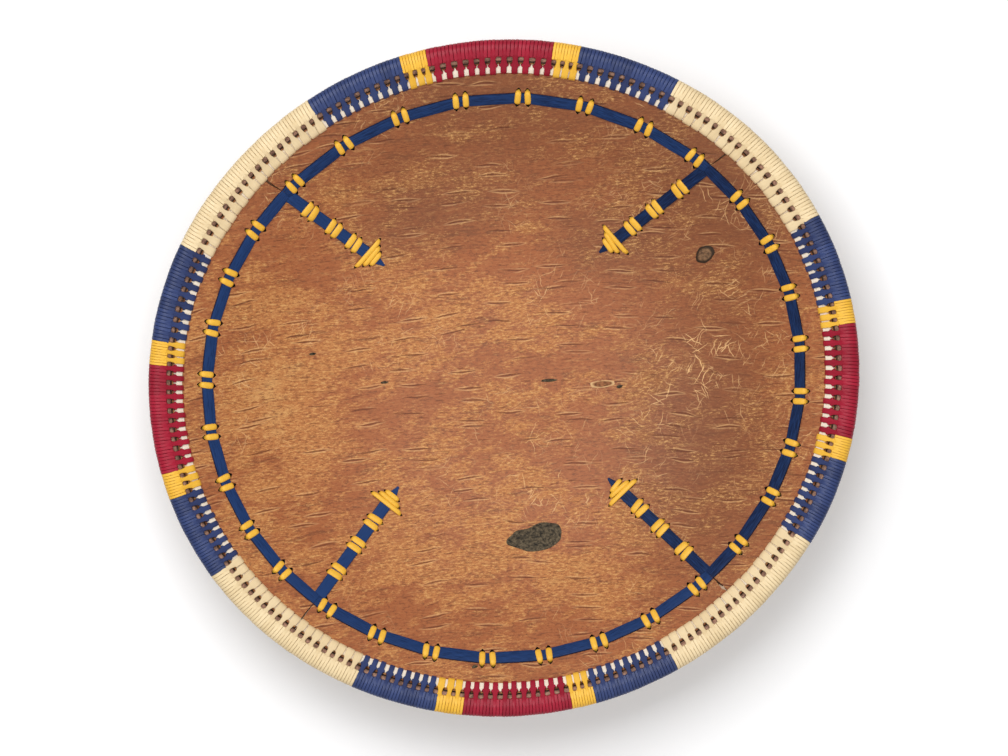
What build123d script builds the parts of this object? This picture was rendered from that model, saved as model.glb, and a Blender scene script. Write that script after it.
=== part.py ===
from build123d import *
import os
from math import acos, asin, atan2, ceil, cos, degrees, hypot, pi, radians, sin, sqrt, tan

import numpy as np

# A shallow, nearly round basket made from one sheet of birch bark. Four darts raise the wall. Each dart
# is lapped and sewn down under a strip of dyed root. A ring of the same strip runs round the inside of
# the wall. Two willow hoops stiffen the edge, and split roots in four colours lash them to the bark.
# Millimetres and degrees. The origin is the middle of the base's underside, +Z is up, +X is the length.

# Outline and bark
DIAMETER = 420.0  # over the lashing, mean of length and width
OUT_OF_ROUND = 21.8  # length less width
BASE_DIAMETER = 92.0  # the flat of the base, mean of length and width
DEPTH = 64.0  # rise of the bark from the base to its edge
WALL_ANGLE = 35.0  # slope of the wall at its edge
BARK = 2.0  # thickness of the sheet

# Rim
HOOP = 5.2  # diameter of the willow hoop inside the lashing
EDGE_HOOP = 4.6  # diameter of the bare willow hoop along the bark's edge
RIM_TILT = 20.0  # how steeply the hoop stands above the edge hoop
BINDING_WIDTH = 6.5  # cream strip that lies along the inside of the edge
BINDING = 1.0  # thickness of that strip
ROOT = 2.0  # diameter of a lashing root
HOOP_JOINT = 0.4  # gap where the two ends of a hoop meet

# Strips and stitches inside the basket
STRIP_WIDTH = 6.0  # blue root strip, on the ring and on the darts
STRIP = 1.0  # thickness of that strip
STRIP_POINT = 10.0  # length of the pointed end of a dart's strip
RING_INSET = 34.0  # from the outline to the middle of the ring
RING_JOINT = 1.0  # gap between the ends of two ring strips
THREAD = 1.6  # diameter of a stitching root
PAIR_GAP = 6.4  # between the two stitches of a pair on the ring
DART_PAIR_GAP = 4.4  # between the two stitches of a pair on a dart
PAIRS_PER_RING_STRIP = 8
DART_PAIR_SHARES = (0.316, 0.52, 0.755)  # places of a dart's pairs, as shares of its strip from the tip
END_STITCHES = ((7.6, 4.4), (10.2, 6.6), (12.8, 11.0))  # from the tip, and half of the stitch's length
TAIL = 6.0  # end of a stitching root, tucked under the bark
STITCH_BEND = 1.1  # radius of a stitching root's bends
UNDER_STEP = 10.0  # longest straight stretch of a stitching root under the bark

# Laps and clearances
LAP = 1.0  # thickness of the pared flap under a dart
LAP_WIDTH = 18.0  # width of the flap at the edge of the bark
LAP_TIP_WIDTH = 2.0  # width of the flap at the dart's tip
SEAT = 0.2  # between pieces that lie on each other
HOLE_ROOM = 0.6  # between a root and the side of its awl hole
GAP_SAMPLES = 6  # points on each edge of a root's path where its gaps are measured
NEAR_TURN = 4.0  # diameters along a root within which its own bends aren't measured as gaps

# The darts: bearing of the outer end, turn away from the middle, length of strip from the ring to the tip,
# and +1 or -1 for the side that the flap lies on. Bearings are counted from +X, seen from above.
DARTS = (
    (34.0, -8.0, 82.5, -1),
    (127.8, 4.2, 73.5, 1),
    (217.8, 4.3, 84.4, -1),
    (304.2, 0.2, 84.6, 1),
)
# The first and last pair of stitches on each ring strip, as bearings.
RING_PAIR_SPANS = ((37.1, 125.1), (137.3, 209.0), (220.4, 300.9), (312.7, 385.0))

# The rim's colours in order round the basket, from the red nearest +X: each run's stitches and its bearing span.
RIM_START = -21.7
RIM_RUNS = (
    ("red", 11, 18.8),
    ("yellow", 2, 4.0),
    ("blue", 9, 14.4),
    ("cream", 18, 32.2),
    ("blue", 9, 17.3),
    ("yellow", 3, 4.6),
    ("red", 11, 22.1),
    ("yellow", 3, 4.6),
    ("blue", 9, 17.3),
    ("cream", 18, 32.2),
    ("blue", 9, 16.2),
    ("yellow", 2, 4.0),
    ("red", 11, 17.9),
    ("yellow", 2, 4.3),
    ("blue", 9, 14.1),
    ("cream", 18, 29.5),
    ("blue", 9, 14.5),
    ("yellow", 3, 4.7),
    ("red", 11, 18.9),
    ("yellow", 2, 4.2),
    ("blue", 9, 15.0),
    ("cream", 18, 30.9),
    ("blue", 9, 14.4),
    ("yellow", 2, 3.9),
)
STITCHES_PER_ROOT = 11  # one root lashes at most this many stitches, so a cream run takes two roots

# The outline is an oval of four arcs that meet on the lines at 45 degrees.
ARC_SHIFT = OUT_OF_ROUND / 2 / (2 - sqrt(2))
END_RADIUS = DIAMETER / 2 + OUT_OF_ROUND / 4 - ARC_SHIFT
SIDE_RADIUS = DIAMETER / 2 - OUT_OF_ROUND / 4 + ARC_SHIFT

# The rim's cross-section: u is counted outwards from the outline, z upwards.
SLOPE = radians(WALL_ANGLE)
ROOT_PATH = HOOP / 2 + SEAT + ROOT / 2
HOOP_STEP = HOOP / 2 + SEAT + ROOT + SEAT + EDGE_HOOP / 2
EDGE_STEP = EDGE_HOOP / 2 + SEAT
HOOP_U = -(HOOP / 2 + SEAT + ROOT)
EDGE_HOOP_U = HOOP_U - HOOP_STEP * cos(radians(RIM_TILT))
BARK_EDGE_U = EDGE_HOOP_U - EDGE_STEP * cos(SLOPE)
BARK_EDGE_Z = BARK / 2 + DEPTH
EDGE_HOOP_Z = BARK_EDGE_Z + EDGE_STEP * sin(SLOPE)
HOOP_Z = EDGE_HOOP_Z + HOOP_STEP * sin(radians(RIM_TILT))

# The wall's cross-section: flat base, one large bend, then a straight slope to the edge.
FLAT_U = (BASE_DIAMETER - DIAMETER) / 2
WALL_SPREAD = BARK_EDGE_U - FLAT_U
BEND = (WALL_SPREAD * tan(SLOPE) - DEPTH) * cos(SLOPE) / (1 - cos(SLOPE))
BEND_END_U = FLAT_U + BEND * sin(SLOPE)
BEND_END_Z = BARK / 2 + BEND * (1 - cos(SLOPE))

# Heights above the middle of the sheet
BINDING_LOW = BARK / 2 + SEAT
BINDING_HIGH = BINDING_LOW + BINDING
STRIP_LOW = BARK / 2 + SEAT
STRIP_HIGH = STRIP_LOW + STRIP
ROOT_OVER = BINDING_HIGH + SEAT + ROOT / 2
THREAD_OVER = STRIP_HIGH + SEAT + THREAD / 2
STITCH_HALF = STRIP_WIDTH / 2 + SEAT + THREAD / 2 + HOLE_ROOM / 2
RIM_HOLE_BACK = SEAT + BINDING_WIDTH + SEAT + ROOT / 2 + 2 * HOLE_ROOM
RIM_HOLE_U = BARK_EDGE_U - RIM_HOLE_BACK * cos(SLOPE)
RIM_HOLE_Z = BARK_EDGE_Z - RIM_HOLE_BACK * sin(SLOPE)
RIM_TURN_BACK = RIM_HOLE_BACK - ROOT - 2 * HOLE_ROOM


# The oval and the wall


def arc_at(angle):
    """Centre and radius of the outline's arc whose outward direction is this angle."""
    quarter = round(angle / 90) % 4
    centre_x = (ARC_SHIFT, 0, -ARC_SHIFT, 0)[quarter]
    centre_y = (0, -ARC_SHIFT, 0, ARC_SHIFT)[quarter]
    return centre_x, centre_y, (END_RADIUS, SIDE_RADIUS)[quarter % 2]


def outward_angle(x, y):
    """Outward direction of the outline, and distance u from it, at a place seen from above."""
    bearing = degrees(atan2(y, x))
    for quarter in range(4):
        centre_x, centre_y, radius = arc_at(90 * quarter)
        angle = degrees(atan2(y - centre_y, x - centre_x))
        off_middle = (angle - 90 * quarter + 180) % 360 - 180
        if abs(off_middle) <= 45 + 1e-6:
            return bearing + (angle - bearing + 180) % 360 - 180, hypot(x - centre_x, y - centre_y) - radius
    raise ValueError("this place is too near the middle of the base")


def at_bearing(bearing, u):
    """Outward direction of the outline where a ray from the middle meets the curve at u."""
    ray_x, ray_y = cos(radians(bearing)), sin(radians(bearing))
    for quarter in range(4):
        centre_x, centre_y, radius = arc_at(90 * quarter)
        along = ray_x * centre_x + ray_y * centre_y
        across = ray_x * centre_y - ray_y * centre_x
        distance = along + sqrt((radius + u) ** 2 - across**2)
        angle = degrees(atan2(ray_y * distance - centre_y, ray_x * distance - centre_x))
        off_middle = (angle - 90 * quarter + 180) % 360 - 180
        if abs(off_middle) <= 45 + 1e-6:
            return bearing + (angle - bearing + 180) % 360 - 180
    raise ValueError("no arc of the outline lies at this bearing")


def place(angle, u, z):
    """The point at distance u outside the outline, in the outward direction angle, at height z."""
    centre_x, centre_y, radius = arc_at(angle)
    reach = radius + u
    return Vector(centre_x + reach * cos(radians(angle)), centre_y + reach * sin(radians(angle)), z)


def wall_height(u):
    """Height and slope of the middle of the sheet at u."""
    if u <= FLAT_U:
        return BARK / 2, 0.0
    if u <= BEND_END_U:
        slope = asin((u - FLAT_U) / BEND)
        return BARK / 2 + BEND * (1 - cos(slope)), slope
    return BEND_END_Z + (u - BEND_END_U) * tan(SLOPE), SLOPE


def off_wall(u, height):
    """Cross-section point at a height above the middle of the sheet, square to it."""
    z, slope = wall_height(u)
    return u - height * sin(slope), z + height * cos(slope)


def surface(x, y, height):
    """Point at a height above the middle of the sheet, square to it, at a place seen from above."""
    angle, u = outward_angle(x, y)
    z, slope = wall_height(u)
    outward = Vector(cos(radians(angle)), sin(radians(angle)), 0)
    normal = outward * -sin(slope) + Vector(0, 0, cos(slope))
    return Vector(x, y, z) + normal * height


# Solids that follow the oval


def turned(outline, start, end):
    """Solid of a cross-section carried round the oval from one outward direction to another.

    outline(radius) gives the cross-section's face for an arc of that radius, in the XZ plane.
    """
    pieces = []
    while start < end - 1e-6:
        joint = min(end, 45 + 90 * (round(start / 90 + 1e-6)))
        centre_x, centre_y, radius = arc_at((start + joint) / 2)
        piece = revolve(outline(radius), Axis.Z, joint - start)
        pieces.append(Pos(centre_x, centre_y) * Rot(Z=start) * piece)
        start = joint
    whole = pieces[0]
    for piece in pieces[1:]:
        whole = whole + piece
    return whole


def rod_outline(u, z, diameter):
    """Cross-section of a round rod."""
    return lambda radius: Plane.XZ * Pos(radius + u, z) * Circle(diameter / 2)


def layer_outline(start_u, end_u, low, high):
    """Cross-section of a sheet that lies between two heights above the middle of the bark."""

    def side(radius, height):
        """One side of the sheet, as edges from start_u to end_u."""
        stops = [start_u, *(u for u in (FLAT_U, BEND_END_U) if start_u < u < end_u), end_u]
        edges = []
        for first, last in zip(stops, stops[1:]):
            points = [off_wall(u, height) for u in (first, (first + last) / 2, last)]
            points = [Vector(radius + u, 0, z) for u, z in points]
            if FLAT_U <= first and last <= BEND_END_U:
                edges.append(Edge.make_three_point_arc(*points))
            else:
                edges.append(Edge.make_line(points[0], points[2]))
        return edges

    def outline(radius):
        lower = side(radius, low)
        upper = side(radius, high)
        ends = [
            Edge.make_line(lower[0] @ 0, upper[0] @ 0),
            Edge.make_line(lower[-1] @ 1, upper[-1] @ 1),
        ]
        return Face(Wire(lower + upper + ends))

    return outline


def ring(outline):
    """Solid of a cross-section carried the whole way round the oval."""
    return turned(outline, -45, 315)


def prism(corners):
    """Tall upright prism over a plan, to cut a shape out of a layer."""
    face = Face(Wire.make_polygon([Vector(x, y, -DEPTH) for x, y in corners]))
    return Solid.extrude(face, Vector(0, 0, 3 * DEPTH))


# Roots


def biarc(start, start_way, end, end_way):
    """Two arcs, or straight runs, that leave and arrive in the given directions."""
    chord = end - start
    square = 2 * (1 - start_way.dot(end_way))
    linear = 2 * chord.dot(start_way + end_way)
    if square < 1e-9:
        reach = chord.dot(chord) / linear
    else:
        reach = (sqrt(linear**2 + 4 * square * chord.dot(chord)) - linear) / (2 * square)
    middle = (start + start_way * reach + end - end_way * reach) * 0.5
    edges = []
    for first, way, last in ((start, start_way, middle), (end, end_way * -1, middle)):
        run = last - first
        if run.cross(way).length < 1e-6 * run.length:
            edges.append(Edge.make_line(first, last))
        else:
            edges.append(Edge.make_tangent_arc(first, way, last))
    return edges


def tube(path, diameter):
    """Round root along a path."""
    start = Plane(origin=path @ 0, z_dir=path % 0)
    return sweep(start * Circle(diameter / 2), path=path)


def least_gap(path, diameter):
    """Least clear distance between turns of a root, measured on points along its path."""
    shares = [i / GAP_SAMPLES for i in range(GAP_SAMPLES)]
    points = np.array([tuple(edge @ share) for edge in path.edges() for share in shares])
    step = path.length / len(points)
    apart = int(NEAR_TURN * diameter / step)
    least = min(
        np.linalg.norm(points[i + apart :] - points[i], axis=1).min() for i in range(len(points) - apart)
    )
    return least - diameter


# Laps under the darts


def dart_line(dart):
    """Places, seen from above, of a dart's ends: at the middle of the ring, at the tip, and past the rim."""
    bearing, turn, length, _ = dart
    angle = at_bearing(bearing, -RING_INSET)
    on_ring = place(angle, -RING_INSET, 0)
    inward = radians(bearing + 180 + turn)
    way = Vector(cos(inward), sin(inward), 0)
    return on_ring, on_ring + way * length, on_ring - way * RING_INSET


def lap_corners(dart):
    """Plan of the flap under a dart, from its tip to past the rim."""
    _, tip, outside = dart_line(dart)
    way = (outside - tip).normalized()
    aside = Vector(-way.Y, way.X, 0) * dart[3]
    corners = (tip, outside, outside + aside * LAP_WIDTH, tip + aside * LAP_TIP_WIDTH)
    return [(corner.X, corner.Y) for corner in corners]


def lap_under(x, y, room):
    """Thickness of the flap under a place, or nothing where no flap reaches within room of it."""
    for dart in DARTS:
        _, tip, outside = dart_line(dart)
        way = (outside - tip).normalized()
        aside = Vector(-way.Y, way.X, 0) * dart[3]
        offset = Vector(x, y, 0) - tip
        along = offset.dot(way) / (outside - tip).length
        across = offset.dot(aside)
        width = LAP_TIP_WIDTH + along * (LAP_WIDTH - LAP_TIP_WIDTH)
        if -room < along * (outside - tip).length and -room < across < width + room:
            return LAP
    return 0.0


# Rim lashing


def rim_stitches():
    """Colour of each root, and the outward directions at which each of its stitches starts and ends."""
    roots = []
    bearing = RIM_START
    for colour, stitches, span in RIM_RUNS:
        angles = [at_bearing(bearing + span * k / stitches, HOOP_U) for k in range(stitches + 1)]
        count = ceil(stitches / STITCHES_PER_ROOT)
        for root in range(count):
            first = stitches * root // count
            last = stitches * (root + 1) // count
            roots.append((colour, [(angles[k], angles[k + 1]) for k in range(first, last)]))
        bearing += span
    return roots


def hole_angle(start, end):
    """Outward direction of a stitch's hole, halfway along its long turn."""
    return start + (end - start) / 4


def long_turn(angle):
    """Knots of a stitch that holds both hoops and the binding strip to the bark.

    Each knot is a cross-section point, the direction there and the share of the turn passed.
    """
    hole = place(angle, RIM_HOLE_U, RIM_HOLE_Z)
    under = BARK / 2 + lap_under(hole.X, hole.Y, ROOT) + SEAT + ROOT / 2
    edge_path = EDGE_HOOP / 2 + SEAT + ROOT / 2
    leave = radians(RIM_TILT) + acos((ROOT_PATH - edge_path) / HOOP_STEP)
    turn_u = BARK_EDGE_U - RIM_TURN_BACK * cos(SLOPE)
    turn_z = BARK_EDGE_Z - RIM_TURN_BACK * sin(SLOPE)
    over = (turn_u - ROOT_OVER * sin(SLOPE), turn_z + ROOT_OVER * cos(SLOPE))
    below = (turn_u + under * sin(SLOPE), turn_z - under * cos(SLOPE))
    to_hoop = (HOOP_U - below[0], HOOP_Z - below[1])
    rise = atan2(to_hoop[1], to_hoop[0]) - asin(ROOT_PATH / hypot(*to_hoop))
    meet = rise - pi / 2
    side = SLOPE + pi / 2
    return (
        (HOOP_U + ROOT_PATH, HOOP_Z, pi / 2, 0.0),
        (HOOP_U + ROOT_PATH * cos(leave), HOOP_Z + ROOT_PATH * sin(leave), leave + pi / 2, 0.2),
        (EDGE_HOOP_U + edge_path * cos(side), EDGE_HOOP_Z + edge_path * sin(side), SLOPE + pi, 0.3),
        (*over, SLOPE + pi, 0.4),
        (RIM_HOLE_U, RIM_HOLE_Z, SLOPE - pi / 2, 0.5),
        (*below, rise, 0.6),
        (HOOP_U + ROOT_PATH * cos(meet), HOOP_Z + ROOT_PATH * sin(meet), rise, 0.85),
    )


def short_turn():
    """Knots of a turn round the hoop alone."""
    quarters = ((0.0, 0.0), (0.5, 0.2), (1.0, 0.5), (1.5, 0.8))
    return tuple(
        (HOOP_U + ROOT_PATH * cos(pi * q), HOOP_Z + ROOT_PATH * sin(pi * q), pi * (q + 0.5), share)
        for q, share in quarters
    )


def lashing(stitches):
    """One unbroken root: a long turn and a short turn for each stitch."""
    knots = []
    for start, end in stitches:
        half = (end - start) / 2
        long_knots = long_turn(hole_angle(start, end))
        knots += [(start + half * share, u, z, way) for u, z, way, share in long_knots]
        knots += [(start + half * (1 + share), u, z, way) for u, z, way, share in short_turn()]
    points = [place(angle, u, z) for angle, u, z, _ in knots]
    ways = []
    for i, (angle, _, _, way) in enumerate(knots):
        before, after = max(i - 1, 0), min(i + 1, len(knots) - 1)
        outward = Vector(cos(radians(angle)), sin(radians(angle)), 0)
        along = Vector(-outward.Y, outward.X, 0)
        lead = (points[after] - points[before]).dot(along) / (points[after] - points[before]).length
        flat = outward * cos(way) + Vector(0, 0, sin(way))
        ways.append((flat + along * lead).normalized())
    edges = []
    for i in range(len(points) - 1):
        edges += biarc(points[i], ways[i], points[i + 1], ways[i + 1])
    return Wire(edges)


# Stitching inside the basket


def stitched(stitches):
    """Path of one running root. Each stitch is the two places, seen from above, where it passes the bark."""
    corners = []

    def under(place_from, place_to, ends):
        """Corners of the run under the bark, close enough to follow its curve."""
        run = place_to - place_from
        spans = max(1, ceil(run.length / UNDER_STEP))
        for k in range(ends[0], spans + ends[1]):
            spot = place_from + run * (k / spans)
            depth = BARK / 2 + lap_under(spot.X, spot.Y, THREAD) + SEAT + THREAD / 2
            corners.append(surface(spot.X, spot.Y, -depth))

    first, last = stitches[0], stitches[-1]
    tail_way = (first[0] - first[1]).normalized()
    under(first[0] + tail_way * TAIL, first[0], (0, 1))
    for i, (start, end) in enumerate(stitches):
        corners.append(surface(start.X, start.Y, THREAD_OVER))
        corners.append(surface(end.X, end.Y, THREAD_OVER))
        if i + 1 < len(stitches):
            under(end, stitches[i + 1][0], (0, 1))
    tail_way = (last[1] - last[0]).normalized()
    under(last[1], last[1] + tail_way * TAIL, (0, 1))
    return Wire(FilletPolyline(*corners, radius=STITCH_BEND).edges())


def ring_stitches(span):
    """Stitches across one ring strip, in pairs."""
    first, last = (at_bearing(bearing, -RING_INSET) for bearing in span)
    slope = wall_height(-RING_INSET)[1]
    half = STITCH_HALF * cos(slope)
    stitches = []
    for k in range(PAIRS_PER_RING_STRIP):
        middle = first + (last - first) * k / (PAIRS_PER_RING_STRIP - 1)
        radius = arc_at(middle)[2] - RING_INSET
        aside = degrees(PAIR_GAP / 2 / radius)
        for angle in (middle - aside, middle + aside):
            stitches.append((place(angle, half - RING_INSET, 0), place(angle, -half - RING_INSET, 0)))
    return stitches


def dart_stitches(dart):
    """Stitches across one dart's strip: three spread at the tip, then pairs."""
    on_ring, tip, _ = dart_line(dart)
    way = (on_ring - tip).normalized()
    across = Vector(-way.Y, way.X, 0)
    length = (on_ring - tip).length
    rows = list(END_STITCHES)
    for share in DART_PAIR_SHARES:
        rows += [(share * length + side * DART_PAIR_GAP / 2, STITCH_HALF) for side in (-1, 1)]
    return [(tip + way * along + across * half, tip + way * along - across * half) for along, half in rows]


# Pieces


def awl_hole(spot, diameter):
    """Cutter for one awl hole, as wide as it is long, square through the bark and any flap under it."""
    angle, u = outward_angle(spot.X, spot.Y)
    z, slope = wall_height(u)
    half = diameter / 2 + HOLE_ROOM
    deep = BARK + 2 * LAP
    along = Vector(cos(slope), 0, sin(slope)) * half
    square = Vector(-sin(slope), 0, cos(slope)) * deep
    centre_x, centre_y, radius = arc_at(angle)
    middle = Vector(radius + u, 0, z)
    corners = [middle - along - square, middle + along - square]
    corners += [middle + along + square, middle - along + square]
    aside = degrees(half / (radius + u))
    cutter = revolve(Face(Wire.make_polygon(corners)), Axis.Z, 2 * aside)
    return Pos(centre_x, centre_y) * Rot(Z=angle - aside) * cutter


def bark_tray(rim_roots, sewn):
    """The one sheet of bark, with its flaps and awl holes."""
    corners = [place(45 + 90 * k, FLAT_U, 0) for k in range(4)]
    arcs = []
    for k in range(4):
        crown = place(90 * (k + 1), FLAT_U, 0)
        arcs.append(Edge.make_three_point_arc(corners[k], crown, corners[(k + 1) % 4]))
    sheet = Solid.extrude(Face(Wire(arcs)), Vector(0, 0, BARK))
    sheet = sheet + ring(layer_outline(FLAT_U, BARK_EDGE_U, -BARK / 2, BARK / 2))
    under = ring(layer_outline(FLAT_U, BARK_EDGE_U, -BARK / 2 - LAP, 0))
    for dart in DARTS:
        sheet = sheet + (under & prism(lap_corners(dart)))
    holes = []
    for _, stitches in rim_roots:
        holes += [awl_hole(place(hole_angle(*ends), RIM_HOLE_U, RIM_HOLE_Z), ROOT) for ends in stitches]
    for stitches in sewn:
        holes += [awl_hole(spot, THREAD) for stitch in stitches for spot in stitch]
    return sheet - holes


def hoop(u, z, diameter, bearing):
    """Willow hoop whose two ends meet at a bearing."""
    start = at_bearing(bearing, u)
    joint = degrees(HOOP_JOINT / 2 / (END_RADIUS + u))
    return turned(rod_outline(u, z, diameter), start + joint, start + 360 - joint)


def dart_strip(dart, inside):
    """Blue strip over a dart, pointed at its tip."""
    on_ring, tip, _ = dart_line(dart)
    way = (on_ring - tip).normalized()
    aside = Vector(-way.Y, way.X, 0) * (STRIP_WIDTH / 2)
    shoulder = tip + way * STRIP_POINT
    corners = (tip, shoulder - aside, on_ring - aside, on_ring + aside, shoulder + aside)
    return inside & prism([(corner.X, corner.Y) for corner in corners])


def save(name, shape):
    """Writes one piece."""
    export_step(shape, f"parts/{name}.step")


os.makedirs("parts", exist_ok=True)

rim_roots = rim_stitches()
ring_sewn = [ring_stitches(span) for span in RING_PAIR_SPANS]
dart_sewn = [dart_stitches(dart) for dart in DARTS]

save("bark_tray", bark_tray(rim_roots, ring_sewn + dart_sewn))
save("rim_hoop", hoop(HOOP_U, HOOP_Z, HOOP, RIM_START + 90))
save("edge_hoop", hoop(EDGE_HOOP_U, EDGE_HOOP_Z, EDGE_HOOP, RIM_START - 90))

binding_end = BARK_EDGE_U - SEAT * cos(SLOPE)
binding_start = binding_end - BINDING_WIDTH * cos(SLOPE)
save("binding_strip", ring(layer_outline(binding_start, binding_end, BINDING_LOW, BINDING_HIGH)))

counts = {}
for colour, stitches in rim_roots:
    counts[colour] = counts.get(colour, 0) + 1
    path = lashing(stitches)
    name = f"lashing_{colour}_{counts[colour]}"
    save(name, tube(path, ROOT))
    print(f"{name}: {2 * len(stitches)} turns, least gap {least_gap(path, ROOT):.2f} mm")

strip_half = STRIP_WIDTH / 2 * cos(SLOPE)
ring_outline = layer_outline(-RING_INSET - strip_half, -RING_INSET + strip_half, STRIP_LOW, STRIP_HIGH)
dart_angles = [at_bearing(dart[0], -RING_INSET) for dart in DARTS]
for k in range(4):
    start = dart_angles[k]
    end = dart_angles[(k + 1) % 4] + (360 if k == 3 else 0)
    joint = degrees(RING_JOINT / 2 / (END_RADIUS - RING_INSET))
    save(f"ring_strip_{k + 1}", turned(ring_outline, start + joint, end - joint))
    path = stitched(ring_sewn[k])
    save(f"ring_stitching_{k + 1}", tube(path, THREAD))
    print(f"ring_stitching_{k + 1}: least gap {least_gap(path, THREAD):.2f} mm")

dart_layer = ring(layer_outline(FLAT_U, -RING_INSET - strip_half - SEAT, STRIP_LOW, STRIP_HIGH))
for k, dart in enumerate(DARTS):
    save(f"dart_strip_{k + 1}", dart_strip(dart, dart_layer))
    path = stitched(dart_sewn[k])
    save(f"dart_stitching_{k + 1}", tube(path, THREAD))
    print(f"dart_stitching_{k + 1}: least gap {least_gap(path, THREAD):.2f} mm")

print(f"length {DIAMETER + OUT_OF_ROUND / 2:.0f}, width {DIAMETER - OUT_OF_ROUND / 2:.0f} mm")
print(f"height {HOOP_Z + HOOP / 2 + SEAT + ROOT:.1f}, bend radius {BEND:.0f} mm")
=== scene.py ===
"""A shallow birch bark basket with a lashed rim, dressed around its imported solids."""
import logging
import math
import random
from dataclasses import dataclass, field
from enum import Enum
from typing import Callable, Sequence

import bmesh
import bpy
from mathutils import Euler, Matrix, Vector, noise


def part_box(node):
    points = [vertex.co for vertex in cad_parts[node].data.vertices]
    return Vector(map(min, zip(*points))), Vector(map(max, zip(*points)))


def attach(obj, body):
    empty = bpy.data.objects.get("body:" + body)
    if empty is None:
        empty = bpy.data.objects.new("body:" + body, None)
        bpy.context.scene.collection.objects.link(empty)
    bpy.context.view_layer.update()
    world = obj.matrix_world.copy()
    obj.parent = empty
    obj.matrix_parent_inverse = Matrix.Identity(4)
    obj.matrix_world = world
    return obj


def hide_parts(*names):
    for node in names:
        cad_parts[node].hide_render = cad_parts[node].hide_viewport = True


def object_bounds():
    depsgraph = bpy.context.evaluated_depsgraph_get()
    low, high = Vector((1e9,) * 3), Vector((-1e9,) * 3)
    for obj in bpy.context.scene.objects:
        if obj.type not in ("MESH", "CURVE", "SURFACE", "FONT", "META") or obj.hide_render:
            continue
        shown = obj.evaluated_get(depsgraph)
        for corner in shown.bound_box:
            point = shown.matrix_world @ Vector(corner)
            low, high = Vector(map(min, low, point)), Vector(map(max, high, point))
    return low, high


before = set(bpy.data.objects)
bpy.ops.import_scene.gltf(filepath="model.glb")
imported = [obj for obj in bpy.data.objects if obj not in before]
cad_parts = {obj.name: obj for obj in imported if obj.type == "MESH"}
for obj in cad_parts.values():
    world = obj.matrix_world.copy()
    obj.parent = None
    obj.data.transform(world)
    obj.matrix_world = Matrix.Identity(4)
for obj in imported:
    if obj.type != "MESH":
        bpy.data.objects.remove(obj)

LOG = logging.getLogger("basket")
MM = 0.001
CAD_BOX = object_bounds()
SEED = 11
FLAT_CELL = 1000.0  # so tall that the height doesn't count
PHOTO_TURN = 12.0  # bearing of the basket's length in the photo, in degrees
QUARTER_SEAM = 1e-4  # degrees by which a quarter of the oval starts past its diagonal, on its own arc
MERGE = 0.02 * MM  # points that are nearer than this become one
SHARP = math.radians(50)  # edges sharper than this aren't smoothed

# A strand's cross-section, from its left edge over the crown to its right edge, then its flat back.
FLAT_SECTION = ((-1, 0), (-0.99, 0.8), (-0.82, 0.97), (0, 1), (0.82, 0.97), (0.99, 0.8), (1, 0), (0, -0.04))
ROUND_SECTION = (
    *((-1, 0.1), (-0.86, 0.55), (-0.5, 0.88), (0, 1)),
    *((0.5, 0.88), (0.86, 0.55), (1, 0.1), (0, -0.05)),
)

Colour = tuple[float, float, float]
Placing = Callable[[Vector], Vector]
Socket = bpy.types.NodeSocket


class RootColour(Enum):
    """The four colours of the rim's lashing roots, named as in the nodes."""

    CREAM = "cream"
    BLUE = "blue"
    YELLOW = "yellow"
    RED = "red"


# The basket's shape


@dataclass(frozen=True)
class Oval:
    """The rim's outline seen from above: four arcs that meet on the diagonals.

    Attributes:
        length: The outline's size along X.
        width: The outline's size along Y.
    """

    length: float
    width: float

    def arc(self, angle: float) -> tuple[float, float, float]:
        """Finds the arc that faces a direction.

        Args:
            angle: Outward direction in degrees.

        Returns:
            The arc's centre x, centre y and radius.
        """
        shift = (self.length - self.width) / 2 / (2 - math.sqrt(2))
        quarter = round(angle / 90) % 4
        centre_x = (shift, 0.0, -shift, 0.0)[quarter]
        centre_y = (0.0, -shift, 0.0, shift)[quarter]
        radius = (self.length / 2 - shift, self.width / 2 + shift)[quarter % 2]
        return centre_x, centre_y, radius

    def place(self, angle: float, u: float, z: float) -> Vector:
        """Finds the point at distance u outside the outline.

        Args:
            angle: Outward direction in degrees.
            u: Distance outside the outline; inside is negative.
            z: Height.

        Returns:
            The point.
        """
        centre_x, centre_y, radius = self.arc(angle)
        reach = radius + u
        turn = math.radians(angle)
        return Vector((centre_x + reach * math.cos(turn), centre_y + reach * math.sin(turn), z))

    def locate(self, x: float, y: float) -> tuple[float, float]:
        """Finds the outward direction and the distance u at a place seen from above.

        Args:
            x: Place along X.
            y: Place along Y.

        Returns:
            The direction in degrees and u.
        """
        for quarter in range(4):
            centre_x, centre_y, radius = self.arc(90 * quarter)
            angle = math.degrees(math.atan2(y - centre_y, x - centre_x))
            if abs((angle - 90 * quarter + 180) % 360 - 180) <= 45.0001:
                return angle, math.hypot(x - centre_x, y - centre_y) - radius
        return 0.0, -self.width / 2

    def at_bearing(self, bearing: float, u: float) -> float:
        """Finds the outward direction where a ray from the middle meets the curve at u.

        Args:
            bearing: The ray's bearing in degrees.
            u: Distance outside the outline.

        Returns:
            The outward direction in degrees, near the bearing.
        """
        reach = self.length / 2 + u
        for _ in range(6):
            x = reach * math.cos(math.radians(bearing))
            y = reach * math.sin(math.radians(bearing))
            angle, off = self.locate(x, y)
            reach += u - off
        return bearing + (angle - bearing + 180) % 360 - 180


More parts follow.
